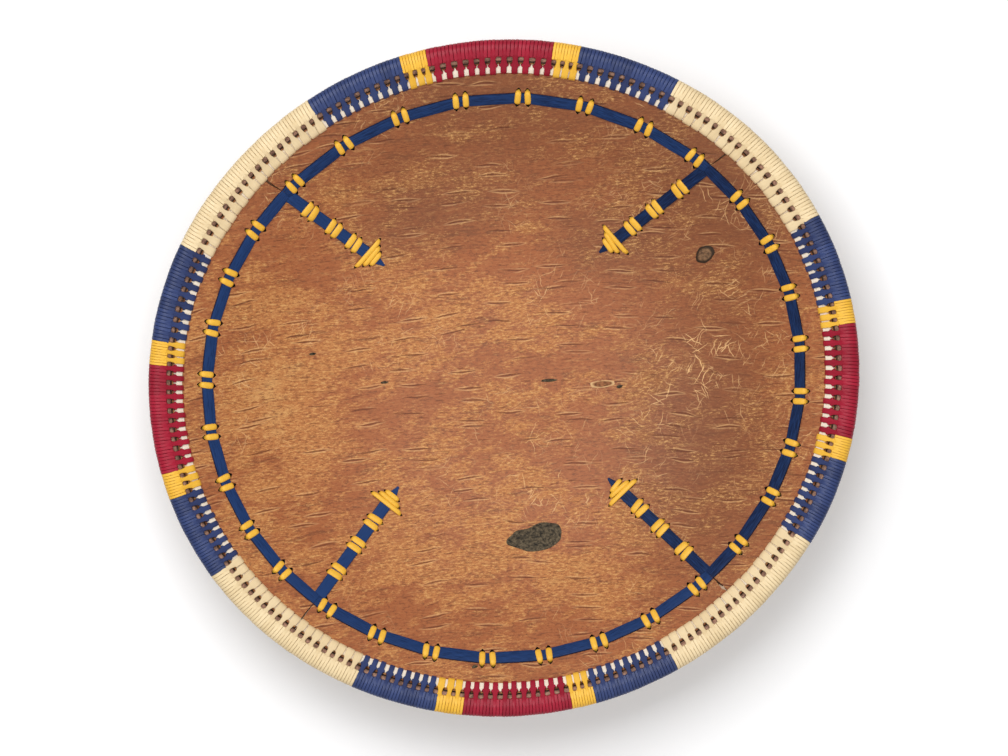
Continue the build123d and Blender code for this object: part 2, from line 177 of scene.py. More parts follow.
@dataclass(frozen=True)
class Wall:
    """The middle of the bark sheet: flat base, one bend, straight slope.

    Attributes:
        oval: The rim's outline.
        flat_u: Where the flat base ends.
        edge_u: Where the bark ends.
        depth: Rise of the sheet from base to edge.
        angle: Slope of the wall at its edge, in radians.
        sheet: Thickness of the bark.
        even: Distance from the middle within which the sheet is even.
        fade: Distance over which its unevenness grows from there.
        wave: Length of its waves.
        sway: Height of its waves.
    """

    oval: Oval
    flat_u: float
    edge_u: float
    depth: float
    angle: float
    sheet: float
    even: float = 50 * MM
    fade: float = 60 * MM
    wave: float = 70 * MM
    sway: float = 0.7 * MM

    @property
    def bend(self) -> float:
        """Works out the radius of the bend.

        Returns:
            The radius that takes the sheet from the flat base to its slope at the edge.
        """
        spread = self.edge_u - self.flat_u
        rise = spread * math.tan(self.angle) - self.depth
        return rise * math.cos(self.angle) / (1 - math.cos(self.angle))

    def height(self, u: float) -> tuple[float, float]:
        """Gives the height and slope of the sheet's middle at u.

        Args:
            u: Distance outside the outline.

        Returns:
            The height and the slope in radians.
        """
        if u <= self.flat_u:
            return self.sheet / 2, 0.0
        bend_end = self.flat_u + self.bend * math.sin(self.angle)
        if u <= bend_end:
            slope = math.asin((u - self.flat_u) / self.bend)
            return self.sheet / 2 + self.bend * (1 - math.cos(slope)), slope
        top = self.sheet / 2 + self.bend * (1 - math.cos(self.angle))
        return top + (u - bend_end) * math.tan(self.angle), self.angle

    def warp(self, x: float, y: float) -> float:
        """Gives the small unevenness of a hand-shaped sheet, none on the flat base.

        Args:
            x: Place along X.
            y: Place along Y.

        Returns:
            The height to add there.
        """
        far = min(1.0, max(0.0, (math.hypot(x, y) - self.even) / self.fade))
        spot = Vector((x, y, 0.0)) / self.wave
        return far * self.sway * noise.noise(spot)

    def over(self, x: float, y: float, height: float) -> Vector:
        """Finds the point at a height square to the sheet, seen from above at x and y.

        Args:
            x: Place along X.
            y: Place along Y.
            height: Distance above the sheet's middle; under it is negative.

        Returns:
            The point.
        """
        angle, u = self.oval.locate(x, y)
        z, slope = self.height(u)
        turn = math.radians(angle)
        inward = -height * math.sin(slope)
        up = z + height * math.cos(slope)
        spot = Vector((x + inward * math.cos(turn), y + inward * math.sin(turn), up))
        spot.z += self.warp(x, y)
        return spot


# Strands: every root, strip and rod is a cross-section carried along stations


@dataclass(frozen=True)
class Station:
    """One cross-section of a strand.

    Attributes:
        base: Middle of the strand's back.
        side: Direction of its width.
        crown: Direction from its back to its crown.
        width: Its whole width.
        thick: Its thickness.
    """

    base: Vector
    side: Vector
    crown: Vector
    width: float
    thick: float


def face_outward(bm: bmesh.types.BMesh) -> None:
    """Turns the faces of a closed shape outward.

    Args:
        bm: The shape.
    """
    bmesh.ops.recalc_face_normals(bm, faces=bm.faces)
    if bm.calc_volume(signed=True) < 0:
        bmesh.ops.reverse_faces(bm, faces=bm.faces)


def put_in_order(bm: bmesh.types.BMesh) -> None:
    """Lists a shape's points by their places, and its edges and faces by their points.

    Some of Blender's operators list what they make in another order each run.

    Args:
        bm: The shape.
    """

    def points(element: bmesh.types.BMEdge | bmesh.types.BMFace) -> list[int]:
        """Gives the numbers of an element's points, in rising order."""
        return sorted(vert.index for vert in element.verts)

    for elements, key in ((bm.verts, lambda vert: vert.co[:]), (bm.edges, points), (bm.faces, points)):
        for index, element in enumerate(sorted(elements, key=key)):
            element.index = index
        elements.sort()


def to_mesh(bm: bmesh.types.BMesh, name: str, *materials: bpy.types.Material) -> bpy.types.Mesh:
    """Turns a bmesh into a mesh and frees it.

    Args:
        bm: The bmesh.
        name: Name of the mesh.
        materials: Its finishes, in the order of its faces' numbers.

    Returns:
        The mesh.
    """
    mesh = bpy.data.meshes.new(name)
    bm.to_mesh(mesh)
    bm.free()
    for material in materials:
        mesh.materials.append(material)
    return mesh


def spin_quarter(bm: bmesh.types.BMesh, oval: Oval, quarter: int, geom: Sequence[object], steps: int) -> None:
    """Spins a profile through one quarter of the oval.

    Args:
        bm: The shape that the profile is in.
        oval: The rim's outline.
        quarter: Which quarter, from 0.
        geom: The profile's points and edges, at the start of the quarter.
        steps: Steps of the turn.
    """
    centre_x, centre_y, _ = oval.arc(90 * quarter)
    bmesh.ops.spin(
        bm,
        geom=geom,
        cent=(centre_x, centre_y, 0.0),
        axis=(0.0, 0.0, 1.0),
        angle=math.radians(90),
        steps=steps,
    )


def strand_mesh(
    name: str, stations: Sequence[Station], section: Sequence[tuple[float, float]]
) -> bpy.types.Mesh:
    """Carries a cross-section along stations and closes both ends.

    Args:
        name: Name of the mesh.
        stations: The cross-sections in order.
        section: Points of the cross-section, in halves of the width and in thicknesses.

    Returns:
        A closed mesh with the vertex attribute "fibre": across, along in cm, and tone.
    """
    bm = bmesh.new()
    fibre = bm.verts.layers.float_vector.new("fibre")
    first = bmesh.ops.create_circle(bm, cap_ends=True, segments=len(section), radius=MM)["verts"]
    cap = first[0].link_faces[0]
    along = 0.0
    for index, station in enumerate(stations):
        if index:
            cap = bmesh.ops.extrude_discrete_faces(bm, faces=[cap])["faces"][0]
            along += (station.base - stations[index - 1].base).length
        for vert, (across, up) in zip(cap.verts, section):
            aside = station.side * (across * station.width / 2)
            vert.co = station.base + aside + station.crown * (up * station.thick)
            vert[fibre] = (across, along * 100, 0.0)
    bmesh.ops.holes_fill(bm, edges=[edge for edge in bm.edges if edge.is_boundary])
    face_outward(bm)
    return to_mesh(bm, name)


class Pile:
    """Collects copies of meshes, each set in its place, into one piece."""

    def __init__(self, name: str) -> None:
        """Starts an empty pile.

        Args:
            name: Name of the piece that it becomes.
        """
        self.name = name
        self.bm = bmesh.new()
        self.bm.verts.layers.float_vector.new("fibre")

    def add(self, mesh: bpy.types.Mesh, placing: Placing, tone: float = 0.5) -> None:
        """Adds a copy of a mesh.

        Args:
            mesh: The mesh to copy.
            placing: Turns a point of the mesh into its place on the basket.
            tone: Shade of this copy, from 0 to 1.
        """
        before, faces_before = len(self.bm.verts), len(self.bm.faces)
        self.bm.from_mesh(mesh)
        self.bm.verts.ensure_lookup_table()
        self.bm.faces.ensure_lookup_table()
        fibre = self.bm.verts.layers.float_vector["fibre"]
        corner = self.bm.verts[before].co.copy()
        spot = placing(corner)
        axes = (Vector((1, 0, 0)), Vector((0, 1, 0)), Vector((0, 0, 1)))
        x, y, z = (placing(corner + axis * 0.1 * MM) - spot for axis in axes)
        for vert in self.bm.verts[before:]:
            vert.co = placing(vert.co.copy())
            across, along, _ = vert[fibre]
            vert[fibre] = (across, along, tone)
        if x.cross(y).dot(z) < 0:  # the placing mirrors, so the faces turn inside out
            bmesh.ops.reverse_faces(self.bm, faces=self.bm.faces[faces_before:])

    def finish(self, material: bpy.types.Material) -> bpy.types.Object:
        """Makes the piece.

        Args:
            material: Its finish.

        Returns:
            The new object, smooth, with sharp edges kept.
        """
        return new_piece(self.name, to_mesh(self.bm, self.name, material))


def new_piece(name: str, mesh: bpy.types.Mesh) -> bpy.types.Object:
    """Puts a mesh into the scene as a smooth piece.

    Args:
        name: Name of the piece.
        mesh: Its mesh.

    Returns:
        The object, at the origin.
    """
    for polygon in mesh.polygons:
        polygon.use_smooth = True
    mesh.set_sharp_from_angle(angle=SHARP)
    piece = bpy.data.objects.new(name, mesh)
    bpy.context.scene.collection.objects.link(piece)
    return piece


def settle(piece: bpy.types.Object, slot: str, *nodes: str) -> None:
    """Fixes a piece to the basket and names what it stands for.

    Args:
        piece: The piece.
        slot: The record's material slot; not used.
        nodes: The solids that it replaces.
    """
    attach(piece, "root")
    if nodes:
        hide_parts(*nodes)
    stands_for = ", ".join(nodes) or "no node"
    LOG.info("%s: %d faces, stands for %s", piece.name, len(piece.data.polygons), stands_for)


# Finishes


class Paint:
    """A material's node tree, with short calls for the nodes that the finishes share."""

    def __init__(self, name: str) -> None:
        """Starts a material with its Principled shader.

        Args:
            name: Name of the material.
        """
        self.material = bpy.data.materials.new(name)
        self.material.use_nodes = True
        self.tree = self.material.node_tree
        self.shader = self.tree.nodes["Principled BSDF"]

    def add(self, kind: str, **values: object) -> bpy.types.Node:
        """Adds a node and sets its properties."""
        return add_node(self.tree, kind, **values)

    def link(self, source: Socket, target: Socket) -> None:
        """Joins two sockets."""
        self.tree.links.new(source, target)

    def bump(self, height: Socket, strength: float, distance: float) -> None:
        """Gives the surface a fine relief.

        Args:
            height: Heights from 0 to 1.
            strength: How much the relief counts.
            distance: Its depth.
        """
        node = self.add("ShaderNodeBump")
        node.inputs["Strength"].default_value = strength
        node.inputs["Distance"].default_value = distance
        self.link(height, node.inputs["Height"])
        self.link(node.outputs[0], self.shader.inputs["Normal"])

    def group(self, tree: bpy.types.NodeTree, **inputs: float) -> bpy.types.Node:
        """Places a shared group with its own values.

        Args:
            tree: The group.
            inputs: Values of its inputs.

        Returns:
            The group's node.
        """
        node = self.add("ShaderNodeGroup")
        node.node_tree = tree
        for name, value in inputs.items():
            node.inputs[name].default_value = value
        return node


def add_node(tree: bpy.types.NodeTree, kind: str, **values: object) -> bpy.types.Node:
    """Adds a node to a tree and sets its properties.

    Args:
        tree: The tree.
        kind: The node's type.
        values: Its properties.

    Returns:
        The node.
    """
    node = tree.nodes.new(kind)
    for name, value in values.items():
        setattr(node, name, value)
    return node


class Wiring:
    """Short calls that build values inside a node tree."""

    def __init__(self, tree: bpy.types.NodeTree) -> None:
        """Works in this tree."""
        self.tree = tree

    def set(self, socket: Socket, value: object) -> None:
        """Feeds a socket from another socket, or sets its value.

        Args:
            socket: The socket.
            value: The other socket, or the value.
        """
        if isinstance(value, Socket):
            self.tree.links.new(value, socket)
        else:
            socket.default_value = value

    def math(self, operation: str, first: object, second: object = 0.0) -> Socket:
        """Does sums with one or two values.

        Args:
            operation: Which sum.
            first: A value or a socket.
            second: Another one.

        Returns:
            The result.
        """
        node = add_node(self.tree, "ShaderNodeMath", operation=operation)
        self.set(node.inputs[0], first)
        self.set(node.inputs[1], second)
        return node.outputs[0]

    def vector(self, operation: str, first: object, second: object = (0, 0, 0)) -> Socket:
        """Does sums with vectors.

        Args:
            operation: Which sum.
            first: A vector or a socket.
            second: Another one.

        Returns:
            The result.
        """
        node = add_node(self.tree, "ShaderNodeVectorMath", operation=operation)
        self.set(node.inputs[0], first)
        self.set(node.inputs[1], second)
        return node.outputs[0]

    def cells(
        self,
        vector: object,
        length: float,
        width: float,
        turn: float = 0.0,
        middle: Sequence[float] = (0, 0, 0),
    ) -> Socket:
        """Gives coordinates in cells of a size, seen from above.

        Args:
            vector: Coordinates in metres.
            length: A cell's length in mm.
            width: Its width in mm.
            turn: Turn of its length from X, in degrees.
            middle: Where the cells start, in metres.

        Returns:
            Coordinates in which a cell is one unit.
        """
        node = add_node(self.tree, "ShaderNodeMapping", vector_type="TEXTURE")
        self.set(node.inputs["Vector"], vector)
        node.inputs["Scale"].default_value = (length * MM, width * MM, FLAT_CELL)
        node.inputs["Rotation"].default_value = (0, 0, math.radians(turn))
        node.inputs["Location"].default_value = middle
        return node.outputs[0]

    def noise(self, vector: object, scale: float, detail: float = 3.0, rough: float = 0.55) -> Socket:
        """Builds cloudy noise.

        Args:
            vector: Coordinates.
            scale: Clouds to one unit of the coordinates.
            detail: How many finer layers it has.
            rough: How much the finer layers count.

        Returns:
            The noise, from 0 to 1.
        """
        node = add_node(self.tree, "ShaderNodeTexNoise")
        self.set(node.inputs["Vector"], vector)
        node.inputs["Scale"].default_value = scale
        node.inputs["Detail"].default_value = detail
        node.inputs["Roughness"].default_value = rough
        return node.outputs[0]

    def step(self, value: object, low: float, high: float, start: float = 0.0, end: float = 1.0) -> Socket:
        """Eases a result from start to end as a value goes from low to high.

        Args:
            value: The value.
            low: Where the result starts to change.
            high: Where it ends.
            start: The result at low.
            end: The result at high.

        Returns:
            The result.
        """
        node = add_node(self.tree, "ShaderNodeMapRange", interpolation_type="SMOOTHSTEP")
        self.set(node.inputs["Value"], value)
        node.inputs["From Min"].default_value = low
        node.inputs["From Max"].default_value = high
        node.inputs["To Min"].default_value = start
        node.inputs["To Max"].default_value = end
        return node.outputs[0]

    def mix(self, share: object, first: object, second: object) -> Socket:
        """Mixes two colours.

        Args:
            share: Share of the second colour.
            first: A colour or a socket.
            second: Another one.

        Returns:
            The mixed colour.
        """
        node = add_node(self.tree, "ShaderNodeMix", data_type="RGBA")
        self.set(node.inputs[0], share)
        self.set(node.inputs[6], (*first, 1.0) if isinstance(first, tuple) else first)
        self.set(node.inputs[7], (*second, 1.0) if isinstance(second, tuple) else second)
        return node.outputs[2]

    def parts(self, vector: object) -> list[Socket]:
        """Splits a vector.

        Args:
            vector: The vector.

        Returns:
            Its x, y and z.
        """
        node = add_node(self.tree, "ShaderNodeSeparateXYZ")
        self.set(node.inputs[0], vector)
        return list(node.outputs)

    def backdrop(self) -> Socket:
        """Builds the mask of the rays that see floor and world as a plain white backdrop.

        Returns:
            The mask, 1 for rays from the camera, from gloss and through glass.
        """
        rays = add_node(self.tree, "ShaderNodeLightPath").outputs
        seen = self.math("MAXIMUM", rays["Is Camera Ray"], rays["Is Glossy Ray"])
        return self.math("MAXIMUM", seen, rays["Is Transmission Ray"])

    def dashes(self, vector: object, half_length: float, half_width: float, share: float) -> Socket:
        """Builds short lens-shaped dashes along x, one at most in each cell of the coordinates.

        Args:
            vector: Coordinates in which a cell is one unit.
            half_length: Half of a dash's length, in cells.
            half_width: Half of its width, in cells.
            share: Share of cells that hold a dash.

        Returns:
            A mask, 1 on the dashes.
        """
        cells = add_node(self.tree, "ShaderNodeTexVoronoi", voronoi_dimensions="2D")
        self.set(cells.inputs["Vector"], vector)
        cells.inputs["Scale"].default_value = 1.0
        cells.inputs["Randomness"].default_value = 0.85
        offset = self.parts(self.vector("SUBTRACT", vector, cells.outputs["Position"]))
        tint = self.parts(cells.outputs["Color"])
        reach = self.math("DIVIDE", offset[0], half_length)
        room = self.math("SUBTRACT", 1.0, self.math("MULTIPLY", reach, reach))
        rise = self.math("DIVIDE", self.math("ABSOLUTE", offset[1]), half_width)
        lens = self.step(self.math("SUBTRACT", room, rise), 0.0, 0.5)
        return self.math("MULTIPLY", lens, self.step(tint[0], share, share - 0.25))


def new_group(
    name: str, inputs: dict[str, float], outputs: Sequence[str]
) -> tuple[bpy.types.NodeTree, Wiring, bpy.types.Node, bpy.types.Node]:
    """Starts a shared node group.

    Args:
        name: Name of the group.
        inputs: Its number inputs with their defaults. "Place" is added as a vector.
        outputs: Its number outputs.

    Returns:
        The tree, its wiring, its input node and its output node.
    """
    tree = bpy.data.node_groups.new(name, "ShaderNodeTree")
    tree.interface.new_socket("Place", in_out="INPUT", socket_type="NodeSocketVector")
    for socket, value in inputs.items():
        made = tree.interface.new_socket(socket, in_out="INPUT", socket_type="NodeSocketFloat")
        made.default_value = value
    for socket in outputs:
        tree.interface.new_socket(socket, in_out="OUTPUT", socket_type="NodeSocketFloat")
    enter = add_node(tree, "NodeGroupInput")
    leave = add_node(tree, "NodeGroupOutput")
    return tree, Wiring(tree), enter, leave


def from_photo(x: float, y: float) -> Vector:
    """Turns a place measured in the photo into the basket's frame.

    Args:
        x: Distance to the right of the middle, in mm.
        y: Distance above the middle, in mm.

    Returns:
        The place, at height 0.
    """
    turn = math.radians(-PHOTO_TURN)
    along = x * math.cos(turn) - y * math.sin(turn)
    across = x * math.sin(turn) + y * math.cos(turn)
    return Vector((along, across, 0.0)) * MM


def photo_place(wire: Wiring) -> Socket:
    """Gives Object coordinates, seen from above, turned to the photo's directions."""
    place = add_node(wire.tree, "ShaderNodeTexCoord").outputs["Object"]
    return wire.cells(place, 1 / MM, 1 / MM, -PHOTO_TURN)


def fibre_group() -> bpy.types.NodeTree:
    """Builds the streaks of split root and the painted shade along its edges.

    Returns:
        A group that turns a strand's fibre attribute into a shade, a mask of the painted shade along its
        edges and a height.
    """
    tree, wire, enter, leave = new_group(
        "root_fibre", {"Streaks": 1.0, "Fibres": 3.0}, ("Shade", "Edge", "Height")
    )
    across, along, tone = wire.parts(enter.outputs["Place"])
    spread = add_node(tree, "ShaderNodeCombineXYZ")
    wire.set(spread.inputs[0], wire.math("MULTIPLY", across, enter.outputs["Fibres"]))
    wire.set(spread.inputs[1], wire.math("MULTIPLY", along, 0.9))
    wire.set(spread.inputs[2], wire.math("MULTIPLY", tone, 37.0))
    streaks = wire.noise(spread.outputs[0], 1.6, 4.0, 0.6)
    contrast = wire.math("MULTIPLY", wire.math("SUBTRACT", streaks, 0.5), enter.outputs["Streaks"])
    shade = wire.math("ADD", contrast, tone)
    # Painted shade: the outer sides of a strand, where it rounds off and meets its neighbours, are darkened.
    edge = wire.step(wire.math("ABSOLUTE", across), 0.84, 1.0)
    wire.set(leave.inputs["Shade"], wire.step(shade, 0.0, 1.0))
    wire.set(leave.inputs["Edge"], edge)
    wire.set(leave.inputs["Height"], streaks)
    return tree


def grain_group() -> bpy.types.NodeTree:
    """Builds the grain and lenticels of birch bark, which run along X.

    Returns:
        A group that turns coordinates into a grain value, masks of the lenticels and of their pale rims, and
        a height.
    """
    tree, wire, enter, leave = new_group(
        "bark_grain", {"Lenticels": 0.4}, ("Grain", "Lenticel", "Rim", "Height")
    )
    place = enter.outputs["Place"]
    sway = wire.noise(place, 11.0, 3.0)
    x, y, _ = wire.parts(place)
    bent = add_node(tree, "ShaderNodeCombineXYZ")
    wire.set(bent.inputs[0], x)
    curve = wire.math("MULTIPLY", wire.math("MULTIPLY", x, x), 0.39)
    level = wire.math("ADD", y, wire.math("MULTIPLY", sway, 0.016))
    wire.set(bent.inputs[1], wire.math("ADD", level, curve))
    fine = wire.noise(wire.cells(bent.outputs[0], 6.0, 1.2, 3.0), 1.0, 5.0, 0.75)
    broad = wire.noise(wire.cells(bent.outputs[0], 34.0, 5.0, 3.0), 1.0, 5.0, 0.65)
    grain = wire.math("ADD", wire.math("MULTIPLY", fine, 0.45), wire.math("MULTIPLY", broad, 0.55))
    long_cells = wire.cells(bent.outputs[0], 32.0, 8.0, 4.0)
    long_dash = wire.dashes(long_cells, 0.3, 0.068, 0.7)
    outer = wire.dashes(long_cells, 0.36, 0.22, 0.7)
    inner = wire.dashes(long_cells, 0.33, 0.13, 0.7)
    outline = wire.math("SUBTRACT", outer, inner)
    short_cells = wire.cells(bent.outputs[0], 13.0, 4.6, 3.0, (0.037, 0.013, 0))
    short_dash = wire.dashes(short_cells, 0.3, 0.08, 0.45)
    dash = wire.math("MAXIMUM", long_dash, wire.math("MULTIPLY", short_dash, 0.7))
    dash = wire.math("MULTIPLY", dash, wire.step(fine, 0.3, 0.55, 0.45, 1.0))
    dash = wire.math("MULTIPLY", dash, enter.outputs["Lenticels"])
    wire.set(leave.inputs["Rim"], wire.math("MULTIPLY", outline, wire.step(broad, 0.45, 0.55)))
    wire.set(leave.inputs["Grain"], grain)
    wire.set(leave.inputs["Lenticel"], dash)
    wire.set(leave.inputs["Height"], wire.math("SUBTRACT", grain, dash))
    return tree


@dataclass(frozen=True)
class RootFinish:
    """Split root, dyed or plain.

    Attributes:
        name: Name of the material.
        light: Colour of its light streaks.
        dark: Colour of its dark streaks.
        edge: Colour of the painted shade along its edges, where it rounds off into the gaps between strands.
        rough: Its roughness.
        shine: How much it reflects.
        streaks: Contrast of its streaks.
        fibres: How many streaks lie across it.
    """

    name: str
    light: Colour
    dark: Colour
    edge: Colour
    rough: float = 0.42
    shine: float = 0.28
    streaks: float = 0.9
    fibres: float = 3.0

    def make(self, fibre: bpy.types.NodeTree) -> bpy.types.Material:
        """Builds the material.

        Args:
            fibre: The shared fibre group.

        Returns:
            The material.
        """
        paint = Paint(self.name)
        wire = Wiring(paint.tree)
        place = paint.add("ShaderNodeAttribute", attribute_name="fibre")
        streaks = paint.group(fibre, Streaks=self.streaks, Fibres=self.fibres)
        paint.link(place.outputs["Vector"], streaks.inputs["Place"])
        body = wire.mix(streaks.outputs["Shade"], self.dark, self.light)
        # Painted shade along the strand's edges.
        body = wire.mix(wire.math("MULTIPLY", streaks.outputs["Edge"], 0.55), body, self.edge)
        paint.link(body, paint.shader.inputs["Base Color"])
        rough = wire.step(streaks.outputs["Height"], 0.25, 0.75, self.rough + 0.14, self.rough - 0.06)
        paint.link(rough, paint.shader.inputs["Roughness"])
        paint.shader.inputs["Specular IOR Level"].default_value = self.shine
        paint.bump(streaks.outputs["Height"], 0.25, 0.3 * MM)
        return paint.material


@dataclass(frozen=True)
class Blob:
    """A soft patch of tone on the bark, seen from above.

    Attributes:
        x: Its middle in the photo, in mm to the right of the basket's.
        y: Its middle in the photo, in mm above the basket's.
        reach_x: Half of its size across the photo, in mm.
        reach_y: Half of its size up the photo, in mm.
        strength: How much it counts at its middle.
    """

    x: float
    y: float
    reach_x: float
    reach_y: float
    strength: float

    def mask(self, wire: Wiring, place: Socket) -> Socket:
        """Builds the patch's mask.

        Args:
            wire: The material's wiring.
            place: Coordinates in the photo's directions.

        Returns:
            The mask.
        """
        spot = wire.cells(place, self.reach_x, self.reach_y, 0.0, (self.x * MM, self.y * MM, 0.0))
        node = add_node(wire.tree, "ShaderNodeVectorMath", operation="LENGTH")
        wire.set(node.inputs[0], spot)
        return wire.step(node.outputs["Value"], 1.0, 0.0, 0.0, self.strength)


@dataclass(frozen=True)
class InnerBark:
    """The orange-brown inner side of birch bark, worn and scratched.

    Attributes:
        red: Colour of fresh inner bark.
        brown: Colour of its dark grain, also used for the painted shade over the upper and right parts of the
            bowl.
        tan: Colour of bark that is a little worn.
        gold: Colour of much worn patches.
        dark: Colour of lenticels.
        scratch: Colour of scratches and of the lenticels' rims.
        worn: Patches that are worn.
        shade_patches: Patches of painted shade, darkening the upper and right parts of the bowl.
        scratched: Patches that are scratched.
    """

    red: Colour = (0.340, 0.104, 0.034)
    brown: Colour = (0.150, 0.050, 0.020)
    tan: Colour = (0.455, 0.172, 0.052)
    gold: Colour = (0.640, 0.350, 0.125)
    dark: Colour = (0.100, 0.022, 0.007)
    scratch: Colour = (0.780, 0.470, 0.210)
    worn: tuple[Blob, ...] = (
        Blob(-140, -15, 90, 100, 0.75),
        Blob(-55, 45, 70, 45, 0.55),
        Blob(-20, -65, 80, 70, 0.5),
        Blob(10, 28, 60, 40, 0.35),
        Blob(-10, -115, 120, 55, 0.35),
        Blob(70, -110, 60, 45, 0.45),
        Blob(-90, -110, 60, 50, 0.3),
        Blob(-60, 120, 60, 24, 0.25),
    )
    shade_patches: tuple[Blob, ...] = (
        Blob(0, 170, 270, 120, 0.8),
        Blob(150, 120, 120, 110, 0.8),
        Blob(125, -35, 105, 190, 0.9),
        Blob(60, 80, 60, 45, 0.6),
        Blob(-75, 78, 60, 30, 0.35),
        Blob(-150, 120, 60, 50, 0.3),
        Blob(-45, 101, 95, 42, 0.45),
    )
    scratched: tuple[Blob, ...] = (
        Blob(135, 20, 70, 80, 0.9),
        Blob(35, -72, 60, 32, 0.9),
        Blob(90, 105, 60, 40, 0.7),
        Blob(30, 45, 45, 30, 0.6),
        Blob(-30, -70, 40, 30, 0.5),
    )

    def make(self, grain: bpy.types.NodeTree) -> bpy.types.Material:
        """Builds the material.

        Args:
            grain: The shared grain group.

        Returns:
            The material.
        """
        paint = Paint("bark_inside")
        wire = Wiring(paint.tree)
        place = photo_place(wire)
        bark = paint.group(grain, Lenticels=0.95)
        paint.link(place, bark.inputs["Place"])
        cloud = wire.noise(wire.cells(place, 60.0, 32.0, 4.0), 1.0, 6.0, 0.6)
        mottle = wire.noise(wire.cells(place, 16.0, 8.0, 20.0, (0.3, 0.2, 0)), 1.0, 6.0, 0.68)
        speck = wire.noise(wire.cells(place, 3.4, 1.2, 4.0), 1.0, 4.0, 0.85)
        worn = self.sum_of(wire, place, self.worn)
        for tone, weight in ((cloud, 3.2), (mottle, 2.6), (speck, 0.8)):
            worn = wire.math("ADD", worn, wire.math("MULTIPLY", wire.math("SUBTRACT", tone, 0.5), weight))
        colour = wire.mix(wire.step(worn, -0.05, 0.55), self.red, self.tan)
        colour = wire.mix(wire.step(worn, 0.6, 1.6, 0.0, 0.6), colour, self.gold)
        # Painted shade: soft dark patches over the upper and right parts of the bowl, varied by the mottle,
        # turn the bark towards brown.
        painted_shade = self.sum_of(wire, place, self.shade_patches)
        painted_shade = wire.math("ADD", painted_shade, wire.math("MULTIPLY", wire.math("SUBTRACT", mottle, 0.5), 0.8))
        colour = wire.mix(wire.step(painted_shade, 0.05, 1.05, 0.0, 0.72), colour, self.brown)
        colour = wire.mix(wire.step(bark.outputs["Grain"], 0.48, 0.38, 0.0, 0.6), colour, self.brown)
        colour = wire.mix(wire.step(bark.outputs["Grain"], 0.54, 0.64, 0.0, 0.35), colour, self.gold)
        colour = wire.mix(wire.step(speck, 0.47, 0.40, 0.0, 0.75), colour, self.brown)
        pale = wire.math("MULTIPLY", wire.step(speck, 0.53, 0.59), wire.step(worn, -0.2, 0.7, 0.1, 0.9))
        colour = wire.mix(pale, colour, self.gold)
        colour = wire.mix(wire.math("MULTIPLY", bark.outputs["Rim"], 0.5), colour, self.scratch)
        scratches = self.scratches(wire, place)
        colour = wire.mix(wire.math("MULTIPLY", scratches, 0.9), colour, self.scratch)
        colour = wire.mix(wire.math("MULTIPLY", bark.outputs["Lenticel"], 0.85), colour, self.dark)
        paint.link(colour, paint.shader.inputs["Base Color"])
        paint.link(wire.step(worn, 0.0, 1.0, 0.58, 0.72), paint.shader.inputs["Roughness"])
        paint.shader.inputs["Specular IOR Level"].default_value = 0.35
        height = wire.math("SUBTRACT", bark.outputs["Height"], wire.math("MULTIPLY", scratches, 0.25))
        paint.bump(height, 0.45, 0.5 * MM)
        return paint.material

    def sum_of(self, wire: Wiring, place: Socket, blobs: Sequence[Blob]) -> Socket:
        """Adds up the masks of several patches.

        Args:
            wire: The material's wiring.
            place: Coordinates in the photo's directions.
            blobs: The patches.

        Returns:
            The sum.
        """
        total = blobs[0].mask(wire, place)
        for blob in blobs[1:]:
            total = wire.math("ADD", total, blob.mask(wire, place))
        return total

    def scratches(self, wire: Wiring, place: Socket) -> Socket:
        """Builds thin pale lines in several directions, gathered in patches.

        Args:
            wire: The material's wiring.
            place: Coordinates in the photo's directions.

        Returns:
            A mask, 1 on the lines.
        """
        total: object = 0.0
        patch = self.sum_of(wire, place, self.scratched)
        patch = wire.math("ADD", patch, wire.step(wire.noise(place, 15.0, 3.0), 0.45, 0.7, 0.0, 0.8))
        patch = wire.math("MULTIPLY", patch, wire.step(wire.noise(place, 70.0, 3.0), 0.44, 0.56))
        curl = add_node(wire.tree, "ShaderNodeTexNoise")
        wire.set(curl.inputs["Vector"], place)
        curl.inputs["Scale"].default_value = 110.0
        curl.inputs["Detail"].default_value = 3.0
        bend = wire.vector("MULTIPLY", curl.outputs["Color"], (0.006, 0.006, 0.0))
        swayed = wire.vector("ADD", place, bend)
        for number, turn in enumerate((3.0, 62.0, -35.0, 66.0, 28.0, -72.0)):
            spot = wire.cells(swayed, 19.0, 4.0, turn, (0.07 * number, 0.03 * number, 0.0))
            total = wire.math("MAXIMUM", total, wire.dashes(spot, 0.42, 0.075, 0.45))
        return wire.math("MULTIPLY", total, patch)


@dataclass(frozen=True)
class OuterBark:
    """The pale outer side of birch bark, seen from outside and below.

    Attributes:
        pale: Its main colour.
        rosy: Colour of its clouds.
        dark: Colour of its lenticels.
    """

    pale: Colour = (0.66, 0.55, 0.42)
    rosy: Colour = (0.50, 0.36, 0.25)
    dark: Colour = (0.10, 0.055, 0.035)

    def make(self, grain: bpy.types.NodeTree) -> bpy.types.Material:
        """Builds the material.

        Args:
            grain: The shared grain group.

        Returns:
            The material.
        """
        paint = Paint("bark_outside")
        wire = Wiring(paint.tree)
        place = photo_place(wire)
        bark = paint.group(grain, Lenticels=1.0)
        paint.link(place, bark.inputs["Place"])
        cloud = wire.noise(place, 18.0, 5.0, 0.6)
        colour = wire.mix(wire.step(cloud, 0.35, 0.7), self.pale, self.rosy)
        colour = wire.mix(wire.step(bark.outputs["Grain"], 0.5, 0.34, 0.0, 0.5), colour, self.rosy)
        colour = wire.mix(bark.outputs["Lenticel"], colour, self.dark)
        paint.link(colour, paint.shader.inputs["Base Color"])
        paint.link(wire.step(cloud, 0.3, 0.7, 0.55, 0.7), paint.shader.inputs["Roughness"])
        paint.bump(bark.outputs["Height"], 0.4, 0.5 * MM)
        return paint.material


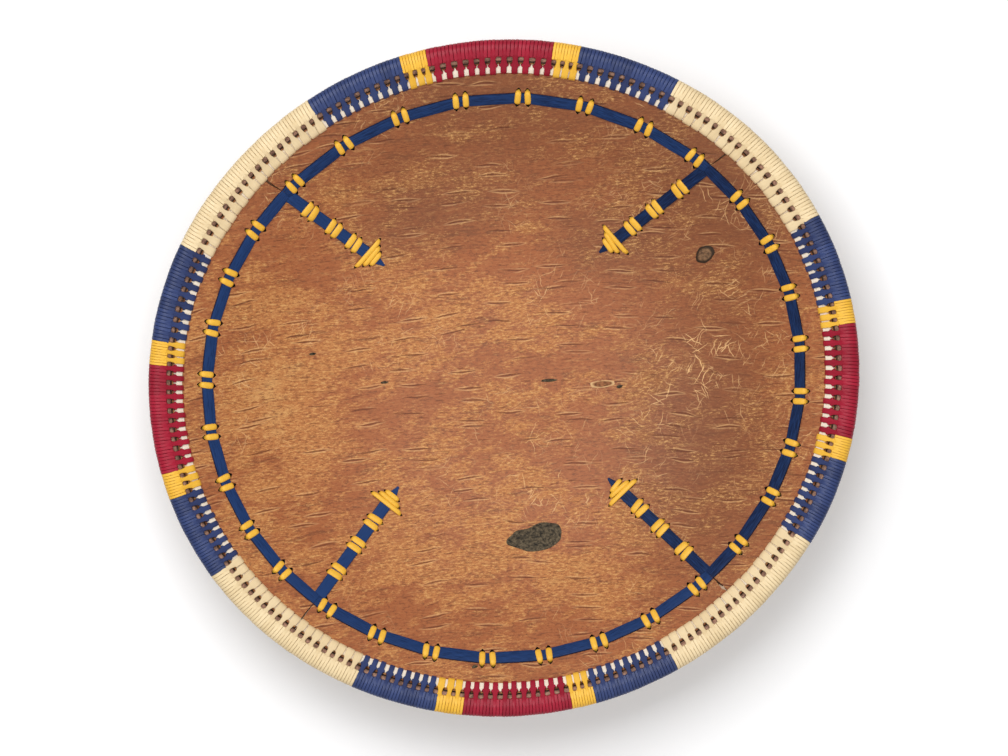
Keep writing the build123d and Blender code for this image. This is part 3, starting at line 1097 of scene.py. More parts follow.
@dataclass(frozen=True)
class GrainedFinish:
    """A plain finish with cloudy noise: cut bark, willow or a knot.

    Attributes:
        name: Name of the material.
        light: Its light colour.
        dark: Its dark colour.
        scale: Size of the noise, in cells to the metre.
        rough: Its roughness.
        bump: Height of its relief.
        rim: Colour along a knot's outline, where it differs.
    """

    name: str
    light: Colour
    dark: Colour
    scale: float
    rough: float
    bump: float
    rim: Colour | None = None

    def make(self) -> bpy.types.Material:
        """Builds the material.

        Returns:
            The material.
        """
        paint = Paint(self.name)
        wire = Wiring(paint.tree)
        place = paint.add("ShaderNodeTexCoord").outputs["Object"]
        cloud = wire.noise(place, self.scale, 6.0, 0.65)
        colour = wire.mix(wire.step(cloud, 0.34, 0.66), self.dark, self.light)
        if self.rim:
            far = paint.add("ShaderNodeAttribute", attribute_name="far").outputs["Fac"]
            colour = wire.mix(wire.step(far, 0.6, 0.85), colour, self.rim)
        paint.link(colour, paint.shader.inputs["Base Color"])
        rough = wire.step(cloud, 0.3, 0.7, self.rough + 0.1, self.rough - 0.1)
        paint.link(rough, paint.shader.inputs["Roughness"])
        paint.shader.inputs["Specular IOR Level"].default_value = 0.2
        paint.bump(cloud, 0.6, self.bump)
        return paint.material


# In each root finish, and in the strip and binding below, the edge colour is painted shade along a strand's
# edges, where it rounds off into the gaps between strands.
ROOTS = {
    RootColour.CREAM: RootFinish(
        "root_cream", (0.85, 0.68, 0.42), (0.72, 0.55, 0.31), (0.46, 0.31, 0.15), rough=0.45
    ),
    RootColour.BLUE: RootFinish(
        "root_blue", (0.030, 0.052, 0.165), (0.013, 0.023, 0.080), (0.005, 0.008, 0.030), rough=0.4
    ),
    RootColour.YELLOW: RootFinish(
        "root_yellow", (0.88, 0.51, 0.060), (0.78, 0.42, 0.034), (0.40, 0.16, 0.010), rough=0.42
    ),
    RootColour.RED: RootFinish(
        "root_red", (0.39, 0.010, 0.034), (0.23, 0.005, 0.018), (0.07, 0.003, 0.009), rough=0.4, shine=0.22
    ),
}
BLUE_STRIP = RootFinish(
    name="strip_blue",
    light=(0.012, 0.040, 0.138),
    dark=(0.002, 0.008, 0.034),
    edge=(0.002, 0.004, 0.015),
    rough=0.5,
    shine=0.13,
    streaks=2.2,
    fibres=6.0,
)
BINDING_FINISH = RootFinish("binding", (0.92, 0.83, 0.71), (0.84, 0.71, 0.55), (0.62, 0.46, 0.28), 0.5)
WILLOW = GrainedFinish("willow", (0.420, 0.235, 0.160), (0.150, 0.080, 0.055), 420.0, 0.6, 0.3 * MM)
KNOT = GrainedFinish("knot", (0.125, 0.094, 0.054), (0.012, 0.010, 0.007), 620.0, 0.62, 0.9 * MM)
SMALL_KNOT = GrainedFinish(
    "small_knot", (0.250, 0.140, 0.070), (0.085, 0.045, 0.025), 420.0, 0.62, 0.6 * MM, (0.030, 0.017, 0.009)
)
EYE = GrainedFinish(
    "bark_eye", (0.330, 0.130, 0.050), (0.120, 0.045, 0.020), 420.0, 0.65, 0.4 * MM, (0.640, 0.400, 0.190)
)
# Painted shade: the awl holes' sides and thin bottom skin are near black, for the shade inside a tight slit.
AWL_HOLE_SHADE = GrainedFinish("awl_hole", (0.020, 0.012, 0.008), (0.008, 0.005, 0.004), 500.0, 0.8, 0.2 * MM)
# Cut bark, darkened partly as painted shade in the slits at the darts and along the sheet's edge under the
# rim.
BARK_EDGE_AND_SHADE = GrainedFinish("bark_edge_and_shade", (0.13, 0.060, 0.028), (0.055, 0.024, 0.012), 500.0, 0.7, 0.3 * MM)


# Stitches that one root of each colour makes along the rim, and how far they spread over the binding strip
STITCHES = {RootColour.CREAM: 9, RootColour.BLUE: 9, RootColour.YELLOW: 3, RootColour.RED: 11}
SPREADS = {RootColour.CREAM: 0.92, RootColour.BLUE: 0.60, RootColour.YELLOW: 0.80, RootColour.RED: 0.57}


# Sub-assemblies


@dataclass(frozen=True)
class Seat:
    """A spot on the sheet with directions across and along a strip.

    Attributes:
        wall: The wall that it lies on.
        middle: The spot, seen from above.
        across: Direction across the strip, level.
        along: Direction along the strip, level.
    """

    wall: Wall
    middle: Vector
    across: Vector
    along: Vector

    def place(self, point: Vector) -> Vector:
        """Sets a point of a strip or stitch on the sheet.

        Args:
            point: The point as across, along and height above the sheet's middle.

        Returns:
            Its place on the basket.
        """
        slope = self.wall.height(self.wall.oval.locate(self.middle.x, self.middle.y)[1])[1]
        outward = self.middle.normalized()
        shrink = 1 - (1 - math.cos(slope)) * abs(self.across.dot(outward))
        spot = self.middle + self.across * (point.x * shrink) + self.along * point.y
        return self.wall.over(spot.x, spot.y, point.z)


@dataclass(frozen=True)
class Dart:
    """A lapped dart in the wall.

    Attributes:
        bearing: Where it meets the ring, in degrees.
        turn: Its turn away from the middle, in degrees.
        length: Its strip's length from the ring to the tip.
        side: +1 or -1, the side whose gore lies on top.
    """

    bearing: float
    turn: float
    length: float
    side: int

    def line(self, wall: Wall, ring_inset: float) -> tuple[Vector, Vector, Vector]:
        """Finds the dart's course, seen from above.

        Args:
            wall: The wall that it lies in.
            ring_inset: Distance of the ring from the outline.

        Returns:
            The tip, the level direction from tip to rim, and the level direction across.
        """
        angle = wall.oval.at_bearing(self.bearing, -ring_inset)
        on_ring = wall.oval.place(angle, -ring_inset, 0.0)
        way = math.radians(self.bearing + self.turn)
        outward = Vector((math.cos(way), math.sin(way), 0.0))
        return on_ring - outward * self.length, outward, Vector((-outward.y, outward.x, 0.0))


@dataclass
class Stitching:
    """Yellow root stitches over a strip, with their awl holes and the runs under the bark.

    Attributes:
        wall: The wall that they lie on.
        strip: Height of the strip's top above the sheet's middle.
        width: A stitch's width at its middle.
        thick: A stitch's thickness.
        hole_reach: Half of an awl hole's length.
        hole_width: Half of an awl hole's width.
    """

    wall: Wall
    strip: float
    width: float = 3.9 * MM
    thick: float = 0.9 * MM
    hole_reach: float = 2.0 * MM
    hole_width: float = 1.6 * MM

    def over_mesh(self, half: float) -> bpy.types.Mesh:
        """Models one stitch over the strip, a barrel shape that dives into both holes.

        Args:
            half: Half of the stitch's length, from hole to hole.

        Returns:
            The mesh, in across, along and height.
        """
        drop = self.wall.sheet / 2
        # Share of the half length, height, tilt, and shares of width and thickness
        rows = (
            (1.0, -drop * 0.7, 180.0, 0.5, 0.8),
            (1.0, drop * 0.6, 172.0, 0.72, 0.85),
            (0.94, self.strip * 0.72, 146.0, 0.86, 0.95),
            (0.78, self.strip * 0.98, 112.0, 0.95, 1.0),
            (0.4, self.strip * 1.02, 97.0, 0.99, 1.0),
        )
        crest = (0.0, self.strip * 1.03, 90.0, 1.0, 1.0)
        far_side = [
            (-reach, height, 180.0 - tilt, wide, thick) for reach, height, tilt, wide, thick in reversed(rows)
        ]
        stations = []
        for reach, height, tilt, wide, thick in (*rows, crest, *far_side):
            lean = math.radians(tilt)
            crown = Vector((-math.cos(lean), 0.0, math.sin(lean)))
            base = Vector((reach * half, 0.0, height))
            stations.append(Station(base, Vector((0, 1, 0)), crown, wide * self.width, thick * self.thick))
        return strand_mesh("stitch", stations, ROUND_SECTION)

    def under_mesh(self, start: Vector, end: Vector, depth: float) -> bpy.types.Mesh:
        """Models the run under the bark from one hole to the next.

        Args:
            start: The first hole, seen from above.
            end: The next hole.
            depth: Thickness of the bark under the sheet's middle there.

        Returns:
            The mesh, in the basket's own frame.
        """
        steps = max(4, round((end - start).length / (5 * MM)))
        shares = [0.0, 0.0] + [(k + 0.5) / steps for k in range(steps)] + [1.0, 1.0]
        depths = [0.2 * depth, depth] + [depth] * steps + [depth, 0.2 * depth]
        stations = []
        way = (end - start).normalized()
        side = Vector((-way.y, way.x, 0.0))
        for number, (share, low) in enumerate(zip(shares, depths)):
            spot = start.lerp(end, share)
            base = self.wall.over(spot.x, spot.y, -low)
            crown = (self.wall.over(spot.x, spot.y, -low - MM) - base).normalized()
            if number in (0, len(shares) - 1):
                crown = way if number else way * -1
            stations.append(Station(base, side, crown, 0.72 * self.width, 0.8 * self.thick))
        return strand_mesh("run", stations, ROUND_SECTION)

    def hole_mesh(self) -> bpy.types.Mesh:
        """Models the cutter of one awl hole, a pointed lens that leaves a thin skin below; its finish paints
        the hole's sides and skin near black, as painted shade.

        Returns:
            The mesh, in across, along and height.
        """
        bm = bmesh.new()
        made = bmesh.ops.create_circle(bm, cap_ends=True, segments=10, radius=1.0)["verts"]
        for vert in made:
            slim = 1 - 0.6 * abs(vert.co.x)
            wide = vert.co.y * self.hole_width * slim
            vert.co = Vector((vert.co.x * self.hole_reach, wide, -0.42 * self.wall.sheet))
        cap = made[0].link_faces[0]
        top = bmesh.ops.extrude_face_region(bm, geom=[cap])["geom"]
        for vert in (item for item in top if isinstance(item, bmesh.types.BMVert)):
            vert.co.z = 4 * self.wall.sheet
        face_outward(bm)
        return to_mesh(bm, "hole")


@dataclass(frozen=True)
class Knot:
    """A knot or scar on the inner side.

    Attributes:
        name: Name of its piece.
        x: Its place in the photo, in mm to the right of the middle.
        y: Its place in the photo, in mm above the middle.
        reach_x: Half of its length, in mm.
        reach_y: Half of its width, in mm.
        dent: Share of its width that its upper side is pressed in.
        lobe: How much wider its right end is than its middle, as a share.
        finish: Its finish.
        tilt: How much higher its right end lies than its middle, as a share of its width.
        sunk: How deep its outline lies in the bark.
        thick: Its thickness.
    """

    name: str
    x: float
    y: float
    reach_x: float
    reach_y: float
    dent: float = 0.0
    lobe: float = 0.0
    finish: GrainedFinish = KNOT
    tilt: float = 0.28
    sunk: float = 0.12 * MM
    thick: float = 0.5 * MM


@dataclass
class BarkTray:
    """The sheet of bark with its darts, holes, flaps and knots.

    Attributes:
        wall: Its shape.
        ring_inset: Distance of the ring from the outline.
        darts: Its darts.
        steps: Steps of each quarter turn.
        rows: Rows from the flat base to the edge.
        cut_reach: How far the sheet is divided anew on both sides of a dart.
        lift: Step between the two gores at a dart.
        lift_reach: Distance from the dart within which the upper gore is raised.
        lift_ease: Distance along the dart over which it rises.
        lift_back: How far its edge is pulled back, so that the slit shows.
        lap: Thickness of a flap.
        lap_width: A flap's width at the edge.
        lap_tip: Its width at the dart's tip.
        lap_share: Share of the way from the ring to the outline that it reaches.
        holes: The cutters of all awl holes.
    """

    wall: Wall
    ring_inset: float
    darts: Sequence[Dart]
    steps: int = 72
    rows: int = 44
    cut_reach: float = 12.0 * MM
    lift: float = 1.5 * MM
    lift_reach: float = 16.0 * MM
    lift_ease: float = 8.0 * MM
    lift_back: float = 0.7 * MM
    lap: float = 1.0 * MM
    lap_width: float = 18.0 * MM
    lap_tip: float = 2.0 * MM
    lap_share: float = 0.6
    holes: Pile = field(default_factory=lambda: Pile("awl_holes"))

    def sheet_mesh(self) -> bmesh.types.BMesh:
        """Spins the middle of the sheet, quarter by quarter, and closes the base.

        Returns:
            An open sheet.
        """
        bm = bmesh.new()
        oval = self.wall.oval
        for quarter in range(4):
            angle = 90 * quarter - 45 + QUARTER_SEAM
            verts = []
            for row in range(self.rows + 1):
                u = self.wall.flat_u + (self.wall.edge_u - self.wall.flat_u) * row / self.rows
                verts.append(bm.verts.new(oval.place(angle, u, self.wall.height(u)[0])))
            edges = [bm.edges.new(pair) for pair in zip(verts, verts[1:])]
            spin_quarter(bm, oval, quarter, verts + edges, self.steps)
        bmesh.ops.remove_doubles(bm, verts=bm.verts, dist=MERGE)
        inner = [e for e in bm.edges if e.is_boundary and e.verts[0].co.z < self.wall.sheet]
        for share in (0.8, 0.75, 0.667, 0.5, 0.3):
            made = bmesh.ops.extrude_edge_only(bm, edges=inner)["geom"]
            for vert in (item for item in made if isinstance(item, bmesh.types.BMVert)):
                vert.co.xy *= share
            inner = [item for item in made if isinstance(item, bmesh.types.BMEdge)]
            inner = [edge for edge in inner if edge.is_boundary]
        bmesh.ops.holes_fill(bm, edges=inner)
        for vert in bm.verts:
            vert.co.z += self.wall.warp(vert.co.x, vert.co.y)
        bmesh.ops.recalc_face_normals(bm, faces=bm.faces)
        if sum(face.normal.z for face in bm.faces) < 0:
            bmesh.ops.reverse_faces(bm, faces=bm.faces)
        return bm

    def open_dart(self, bm: bmesh.types.BMesh, dart: Dart) -> None:
        """Slits the sheet along a dart, outside the ring, and raises the gore that lies on top.

        Args:
            bm: The sheet.
            dart: The dart.
        """
        tip, outward, across = dart.line(self.wall, self.ring_inset)

        def course(point: Vector) -> tuple[float, float]:
            """Distances of a point along the dart from its tip, and across it to the raised side."""
            level = Vector((point.x - tip.x, point.y - tip.y, 0.0))
            return level.dot(outward), level.dot(across) * dart.side

        near = [f for f in bm.faces if course(f.calc_center_median())[0] > 0]
        near = [f for f in near if abs(course(f.calc_center_median())[1]) < self.cut_reach]
        near_edges = dict.fromkeys(edge for face in near for edge in face.edges)
        near_verts = dict.fromkeys(vert for face in near for vert in face.verts)
        cut = bmesh.ops.bisect_plane(
            bm, geom=[*near, *near_edges, *near_verts], dist=0.01 * MM, plane_co=tip, plane_no=across
        )["geom_cut"]
        slit = [item for item in cut if isinstance(item, bmesh.types.BMEdge)]
        slit = [e for e in slit if course((e.verts[0].co + e.verts[1].co) / 2)[0] > dart.length]
        bmesh.ops.split_edges(bm, edges=slit)
        on_top = [f for f in bm.faces if course(f.calc_center_median())[1] > 0]
        raised = {vert for face in on_top for vert in face.verts}
        touch = 0.1 * MM
        for vert in raised:
            along, aside = course(vert.co)
            if along > dart.length and -touch < aside < self.lift_reach:
                ease = 1 - max(aside, 0.0) / self.lift_reach
                start = min(1.0, max(0.0, (along - dart.length) / self.lift_ease))
                vert.co.z += self.lift * start * ease * ease
                if aside < touch:
                    vert.co += across * (dart.side * self.lift_back * start)

    def build(self, sides: Sequence[bpy.types.Material], hole: bpy.types.Material) -> None:
        """Makes the sheet with its thickness and holes.

        Args:
            sides: Finishes of the inner side, the outer side and the cut edges, which are darkened partly as
                painted shade.
            hole: Finish inside the awl holes: near-black painted shade on their sides and thin bottom skin.
        """
        bm = self.sheet_mesh()
        for dart in self.darts:
            self.open_dart(bm, dart)
        put_in_order(bm)
        rough = bpy.data.objects.new("rough_sheet", to_mesh(bm, "bark_sheet", *sides))
        bpy.context.scene.collection.objects.link(rough)
        cutter = self.holes.finish(hole)
        shell = rough.modifiers.new("thickness", "SOLIDIFY")
        shell.thickness = self.wall.sheet
        shell.offset = 0.0
        shell.material_offset = 1
        shell.material_offset_rim = 2
        cut = rough.modifiers.new("awl_holes", "BOOLEAN")
        cut.operation = "DIFFERENCE"
        cut.solver = "EXACT"
        cut.material_mode = "TRANSFER"
        cut.object = cutter
        depsgraph = bpy.context.evaluated_depsgraph_get()
        finished = bpy.data.meshes.new_from_object(rough.evaluated_get(depsgraph), depsgraph=depsgraph)
        bpy.data.objects.remove(rough)
        bpy.data.objects.remove(cutter)
        bm = bmesh.new()
        bm.from_mesh(finished)
        put_in_order(bm)
        bm.to_mesh(finished)
        bm.free()
        settle(new_piece("bark_sheet", finished), "bark", "bark_tray")

    def build_flaps(self, outside: bpy.types.Material) -> None:
        """Makes the pared flaps under the darts.

        Args:
            outside: Finish of the outer side.
        """
        for number, dart in enumerate(self.darts, 1):
            tip, outward, across = dart.line(self.wall, self.ring_inset)
            reach = dart.length + self.ring_inset * self.lap_share
            bm = bmesh.new()
            bmesh.ops.create_grid(bm, x_segments=24, y_segments=6, size=0.5)
            for vert in bm.verts:
                along = (vert.co.x + 0.5) * reach
                width = self.lap_tip + (self.lap_width - self.lap_tip) * along / reach
                spot = tip + outward * along + across * (dart.side * (vert.co.y + 0.5) * width)
                vert.co = self.wall.over(spot.x, spot.y, -self.wall.sheet / 2)
            bmesh.ops.recalc_face_normals(bm, faces=bm.faces)
            for face in bm.faces:
                if face.normal.z > 0:
                    face.normal_flip()
            bmesh.ops.solidify(bm, geom=bm.faces[:], thickness=-self.lap)
            face_outward(bm)
            put_in_order(bm)
            name = f"bark_flap_{number}"
            settle(new_piece(name, to_mesh(bm, name, outside)), "bark")

    def build_knot(self, knot: Knot, material: bpy.types.Material) -> None:
        """Makes a low knot on the inner side, bean-shaped where it is dented.

        Args:
            knot: The knot.
            material: Its finish.
        """
        middle = from_photo(knot.x, knot.y)
        bm = bmesh.new()
        outline = bm.verts.layers.float.new("far")
        bmesh.ops.create_grid(bm, x_segments=28, y_segments=28, size=1.0)
        for vert in bm.verts:
            x, y = vert.co.x, vert.co.y
            round_x = x * math.sqrt(1 - y * y / 2)
            round_y = y * math.sqrt(1 - x * x / 2)
            far = math.hypot(round_x, round_y)
            vert[outline] = far
            ragged = 1 + 0.16 * noise.noise(Vector((round_x * 1.7, round_y * 1.7, knot.reach_x * 0.9)))
            sink = knot.dent * math.exp(-((round_x + 0.25) ** 2) * 9) * max(round_y, 0.0)
            off_x = round_x * knot.reach_x * ragged
            lobe = 1 + knot.lobe * round_x
            off_y = ((round_y * ragged - sink) * lobe + knot.tilt * round_x) * knot.reach_y
            spot = middle + from_photo(off_x, off_y)
            lumps = 0.35 * noise.noise(Vector((round_x * 5, round_y * 5, 4.0)))
            rise = self.wall.sheet / 2 + (1 - far**4) * (0.55 + lumps) * MM - knot.sunk
            vert.co = self.wall.over(spot.x, spot.y, rise)
        bmesh.ops.recalc_face_normals(bm, faces=bm.faces)
        bmesh.ops.solidify(bm, geom=bm.faces[:], thickness=knot.thick)
        face_outward(bm)
        put_in_order(bm)
        settle(new_piece(knot.name, to_mesh(bm, knot.name, material)), "bark")


@dataclass
class Rim:
    """The two hoops, the binding strip and the lashing.

    Attributes:
        wall: The wall that it is lashed to.
        hoop_u: Place of the hoop inside the lashing.
        hoop_z: Its height.
        hoop: Its diameter.
        edge_u: Place of the bare hoop along the bark's edge.
        edge_z: Its height.
        edge_hoop: Its diameter.
        strip_width: Width of the binding strip.
        strip_back: Its distance from the bark's edge.
        strip: Its thickness.
        pitch: Distance from stitch to stitch that the strands are modelled for.
        lay: Room between a strand and what it lies on.
        root: Thickness of a strand on the hoop.
        snug: Share of its room along the hoop that a strand fills.
        lap: How far a strand bulges inward past the hoop's top.
        lap_span: Angle from the hoop's top over which it bulges, in degrees.
        edge_shift: How far outward the bare hoop is moved from the solid's place, clear of the bark's edge.
        slant_reach: Distance inward from the hoop over which a stitch takes up its whole slant.
        strip_turn: Share of a whole turn that the binding strip covers, so that its ends stay apart.
    """

    wall: Wall
    hoop_u: float
    hoop_z: float
    hoop: float
    edge_u: float
    edge_z: float
    edge_hoop: float
    strip_width: float = 6.0 * MM
    strip_back: float = 0.9 * MM
    strip: float = 1.0 * MM
    pitch: float = 6.2 * MM
    lay: float = 0.15 * MM
    root: float = 1.9 * MM
    snug: float = 0.985
    lap: float = 3.0 * MM
    lap_span: float = 100.0
    edge_shift: float = 0.6 * MM
    slant_reach: float = 10.0 * MM
    strip_turn: float = 0.99985

    def on_rod(self, u: float, z: float, diameter: float, turn: float) -> Vector:
        """Finds the point on a round rod where a strand can lie.

        Args:
            u: The rod's place.
            z: Its height.
            diameter: Its diameter.
            turn: Angle round the rod in degrees, from outward to up.

        Returns:
            The point, as along, out and up.
        """
        reach = diameter / 2 + self.lay
        angle = math.radians(turn)
        return Vector((0.0, u + reach * math.cos(angle), z + reach * math.sin(angle)))

    def on_hoop(self, turn: float) -> Vector:
        """Gives the point on the hoop's surface at an angle, as along, out and up."""
        return self.on_rod(self.hoop_u, self.hoop_z, self.hoop, turn)

    def lapped(self, turn: float) -> Vector:
        """Finds the point where a strand lies on its way round the hoop.

        Args:
            turn: Angle round the hoop in degrees, from outward to up.

        Returns:
            The point, as along, out and up.
        """
        spot = self.on_hoop(turn)
        past = min(self.lap_span, max(0.0, turn % 360 - 90))
        spot.y -= self.lap * math.sin(math.pi * past / self.lap_span)
        return spot

    def on_edge_hoop(self, turn: float) -> Vector:
        """Gives the point on the edge hoop's surface at an angle, as along, out and up."""
        return self.on_rod(self.edge_u, self.edge_z, self.edge_hoop, turn)

    def on_wall(self, back: float, height: float) -> Vector:
        """Finds a point over or under the bark near its edge.

        Args:
            back: Distance back from the edge.
            height: Height above the sheet's middle.

        Returns:
            The point, as along, out and up.
        """
        slope = self.wall.angle
        u = self.wall.edge_u - back * math.cos(slope) - height * math.sin(slope)
        z = self.wall.height(self.wall.edge_u)[0] - back * math.sin(slope) + height * math.cos(slope)
        return Vector((0.0, u, z))

    def wrap(self, turn: float) -> tuple[Vector, float, float, float, float]:
        """Gives a strand's place, tilt, width, thickness and share of the pitch on the hoop."""
        share = (1 + (turn - 90) / 180) / 6
        return self.lapped(turn), turn, self.snug * self.pitch / 3, self.root, share

    def stitch_mesh(self, spread: float) -> bpy.types.Mesh:
        """Models one stitch: a long turn through the bark and two turns round the hoop.

        Args:
            spread: Share of the pitch that the long turn covers on the binding strip.

        Returns:
            The mesh, in along, out and up, one pitch long.
        """
        slope = math.degrees(self.wall.angle)
        top = self.wall.sheet / 2 + self.strip + self.lay
        low = -self.wall.sheet / 2 - self.lay
        third = self.pitch / 3
        wide = self.pitch * spread
        near = self.strip_back
        back = self.strip_back + self.strip_width
        leave, land = self.lapped(128), self.on_edge_hoop(118)
        rows = [self.wrap(turn) for turn in (-95, -65, -35, -5, 25, 55, 82)]
        # From the hoop over the bare hoop and the binding strip, through the bark and back below
        rows += [
            (self.lapped(102), 99, third, self.root * 0.97, 0.178),
            (leave, 112, third * 1.7, self.root * 0.84, 0.195),
            (leave.lerp(land, 0.3), 120, third * 2.1, self.root * 0.75, 0.205),
            (leave.lerp(land, 0.65), 124, third * 1.4, self.root * 0.68, 0.217),
            (land, 120, third * 1.4, self.root * 0.66, 0.23),
            (self.on_wall(near - 1.1 * MM, top), slope + 88, third * 1.8, self.root * 0.64, 0.245),
            (self.on_wall(near - 0.2 * MM, top), slope + 90, third * 2.75, self.root * 0.62, 0.25),
            (self.on_wall(near + 0.6 * MM, top), slope + 90, third * 2.6, self.root * 0.62, 0.255),
            (self.on_wall(near + 1.5 * MM, top), slope + 90, wide * 0.98, self.root * 0.62, 0.26),
            (self.on_wall((near + back) / 2, top + 0.1 * MM), slope + 90, wide, self.root * 0.64, 0.27),
            (self.on_wall(back - 0.9 * MM, top), slope + 93, wide * 1.02, self.root * 0.62, 0.28),
            (self.on_wall(back + 0.2 * MM, top * 0.8), slope + 128, wide * 0.98, self.root * 0.58, 0.285),
            (self.on_wall(back + 0.5 * MM, top * 0.3), slope + 168, wide * 0.8, self.root * 0.55, 0.29),
            (self.on_wall(back + 0.5 * MM, low * 0.9), slope + 188, third * 1.2, self.root * 0.55, 0.30),
            (self.on_wall(back - 0.4 * MM, low * 1.15), slope + 250, third * 1.1, self.root * 0.55, 0.305),
            (self.on_wall(back * 0.5, low), slope + 268, third * 1.1, self.root * 0.55, 0.31),
            (self.on_wall(0.6 * MM, low * 1.1), slope + 265, third, self.root * 0.6, 0.315),
            (self.on_edge_hoop(-62), 290, third, self.root * 0.7, 0.32),
            (self.on_hoop(255), 275, third, self.root * 0.9, 0.325),
        ]
        rows += [self.wrap(turn) for turn in range(285, 960, 30)]
        stations = []
        for base, tilt, width, thick, share in rows:
            lean = math.radians(tilt)
            spot = Vector((share * self.pitch, base.y, base.z))
            crown = Vector((0.0, math.cos(lean), math.sin(lean)))
            stations.append(Station(spot, Vector((1, 0, 0)), crown, width, thick))
        return strand_mesh("rim_stitch", stations, FLAT_SECTION)

    def spans(self) -> list[tuple[str, float, float]]:
        """Finds the bearing span of each lashing node, end to end round the rim.

        Returns:
            Each node's name with its first and last bearing in degrees.
        """
        found = []
        for name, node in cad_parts.items():
            if not name.startswith("lashing_"):
                continue
            points = [vert.co for vert in node.data.vertices]
            mean = sum(points, Vector()) / len(points)
            middle = math.degrees(math.atan2(mean.y, mean.x)) % 360
            offs = [(math.degrees(math.atan2(p.y, p.x)) - middle + 180) % 360 - 180 for p in points]
            found.append((middle, middle + min(offs), middle + max(offs), name))
        found.sort()
        spans = []
        for number, (_, start, end, name) in enumerate(found):
            before = found[number - 1][2] - (360 if number == 0 else 0)
            after = found[(number + 1) % len(found)][1] + (360 if number == len(found) - 1 else 0)
            spans.append((name, (start + before) / 2, (end + after) / 2))
        return spans

    def build_lashing(self, finishes: dict[RootColour, bpy.types.Material]) -> None:
        """Makes the lashing, one piece for each root.

        Args:
            finishes: The finish of each colour.
        """
        draw = random.Random(SEED)
        forms = {colour: self.stitch_mesh(spread) for colour, spread in SPREADS.items()}
        oval = self.wall.oval
        for name, start, end in self.spans():
            colour = RootColour(name.split("_")[1])
            count = STITCHES[colour]
            pile = Pile(f"{name}_roots")
            for number in range(count):
                first = oval.at_bearing(start + (end - start) * number / count, self.hoop_u)
                last = oval.at_bearing(start + (end - start) * (number + 1) / count, self.hoop_u)
                slant = draw.uniform(-0.05, 0.05)
                swell = draw.uniform(0.96, 1.0)

                def placing(point: Vector) -> Vector:
                    """Bends a point of the straight stitch round the rim.

                    Args:
                        point: The point, as along, out and up.

                    Returns:
                        Its place on the basket.
                    """
                    share = point.x / self.pitch
                    share += slant * min(1.0, max(0.0, (self.hoop_u - point.y) / self.slant_reach))
                    out = self.hoop_u + (point.y - self.hoop_u) * swell
                    spot = oval.place(first + (last - first) * share, out, point.z)
                    spot.z += self.wall.warp(spot.x, spot.y)
                    return spot

                pile.add(forms[colour], placing, draw.uniform(0.3, 0.7))
            settle(pile.finish(finishes[colour]), f"root_{colour.value}", name)

    def rod(
        self, name: str, u: float, z: float, diameter: float, material: bpy.types.Material
    ) -> bpy.types.Object:
        """Spins a round rod round the oval.

        Args:
            name: Name of the piece.
            u: Its place.
            z: Its height.
            diameter: Its diameter.
            material: Its finish.

        Returns:
            The piece.
        """
        bm = bmesh.new()
        oval = self.wall.oval
        for quarter in range(4):
            angle = 90 * quarter - 45 + QUARTER_SEAM
            ring = bmesh.ops.create_circle(bm, segments=12, radius=diameter / 2)["verts"]
            for vert in ring:
                vert.co = oval.place(angle, u + vert.co.x, z + vert.co.y)
            edges = list(dict.fromkeys(edge for vert in ring for edge in vert.link_edges))
            spin_quarter(bm, oval, quarter, ring + edges, 60)
        bmesh.ops.remove_doubles(bm, verts=bm.verts, dist=MERGE)
        for vert in bm.verts:
            vert.co.z += self.wall.warp(vert.co.x, vert.co.y)
        face_outward(bm)
        put_in_order(bm)
        return new_piece(name, to_mesh(bm, name, material))

    def build_hoops(self, willow: bpy.types.Material) -> None:
        """Makes both willow hoops.

        Args:
            willow: Their finish.
        """
        hoop = self.rod("rim_hoop_rod", self.hoop_u, self.hoop_z, self.hoop, willow)
        settle(hoop, "willow", "rim_hoop")
        edge = self.rod("edge_hoop_rod", self.edge_u + self.edge_shift, self.edge_z, self.edge_hoop, willow)
        settle(edge, "willow", "edge_hoop")

    def build_binding(self, material: bpy.types.Material) -> None:
        """Makes the pale strip under the long stitches.

        Args:
            material: Its finish.
        """
        base = self.wall.sheet / 2 + 0.05 * MM
        steps = 360
        stations = []
        for number in range(steps + 1):
            angle = number * 360 / steps * self.strip_turn
            spot = self.on_wall(self.strip_back + self.strip_width / 2, base)
            low = self.wall.oval.place(angle, spot.y, spot.z)
            low.z += self.wall.warp(low.x, low.y)
            outward = Vector((math.cos(math.radians(angle)), math.sin(math.radians(angle)), 0.0))
            slope = self.wall.angle
            side = outward * math.cos(slope) + Vector((0, 0, math.sin(slope)))
            crown = outward * -math.sin(slope) + Vector((0, 0, math.cos(slope)))
            stations.append(Station(low, side, crown, self.strip_width, self.strip))
        pile = Pile("binding_root")
        pile.add(strand_mesh("binding", stations, FLAT_SECTION), lambda point: point)
        settle(pile.finish(material), "root_cream", "binding_strip")


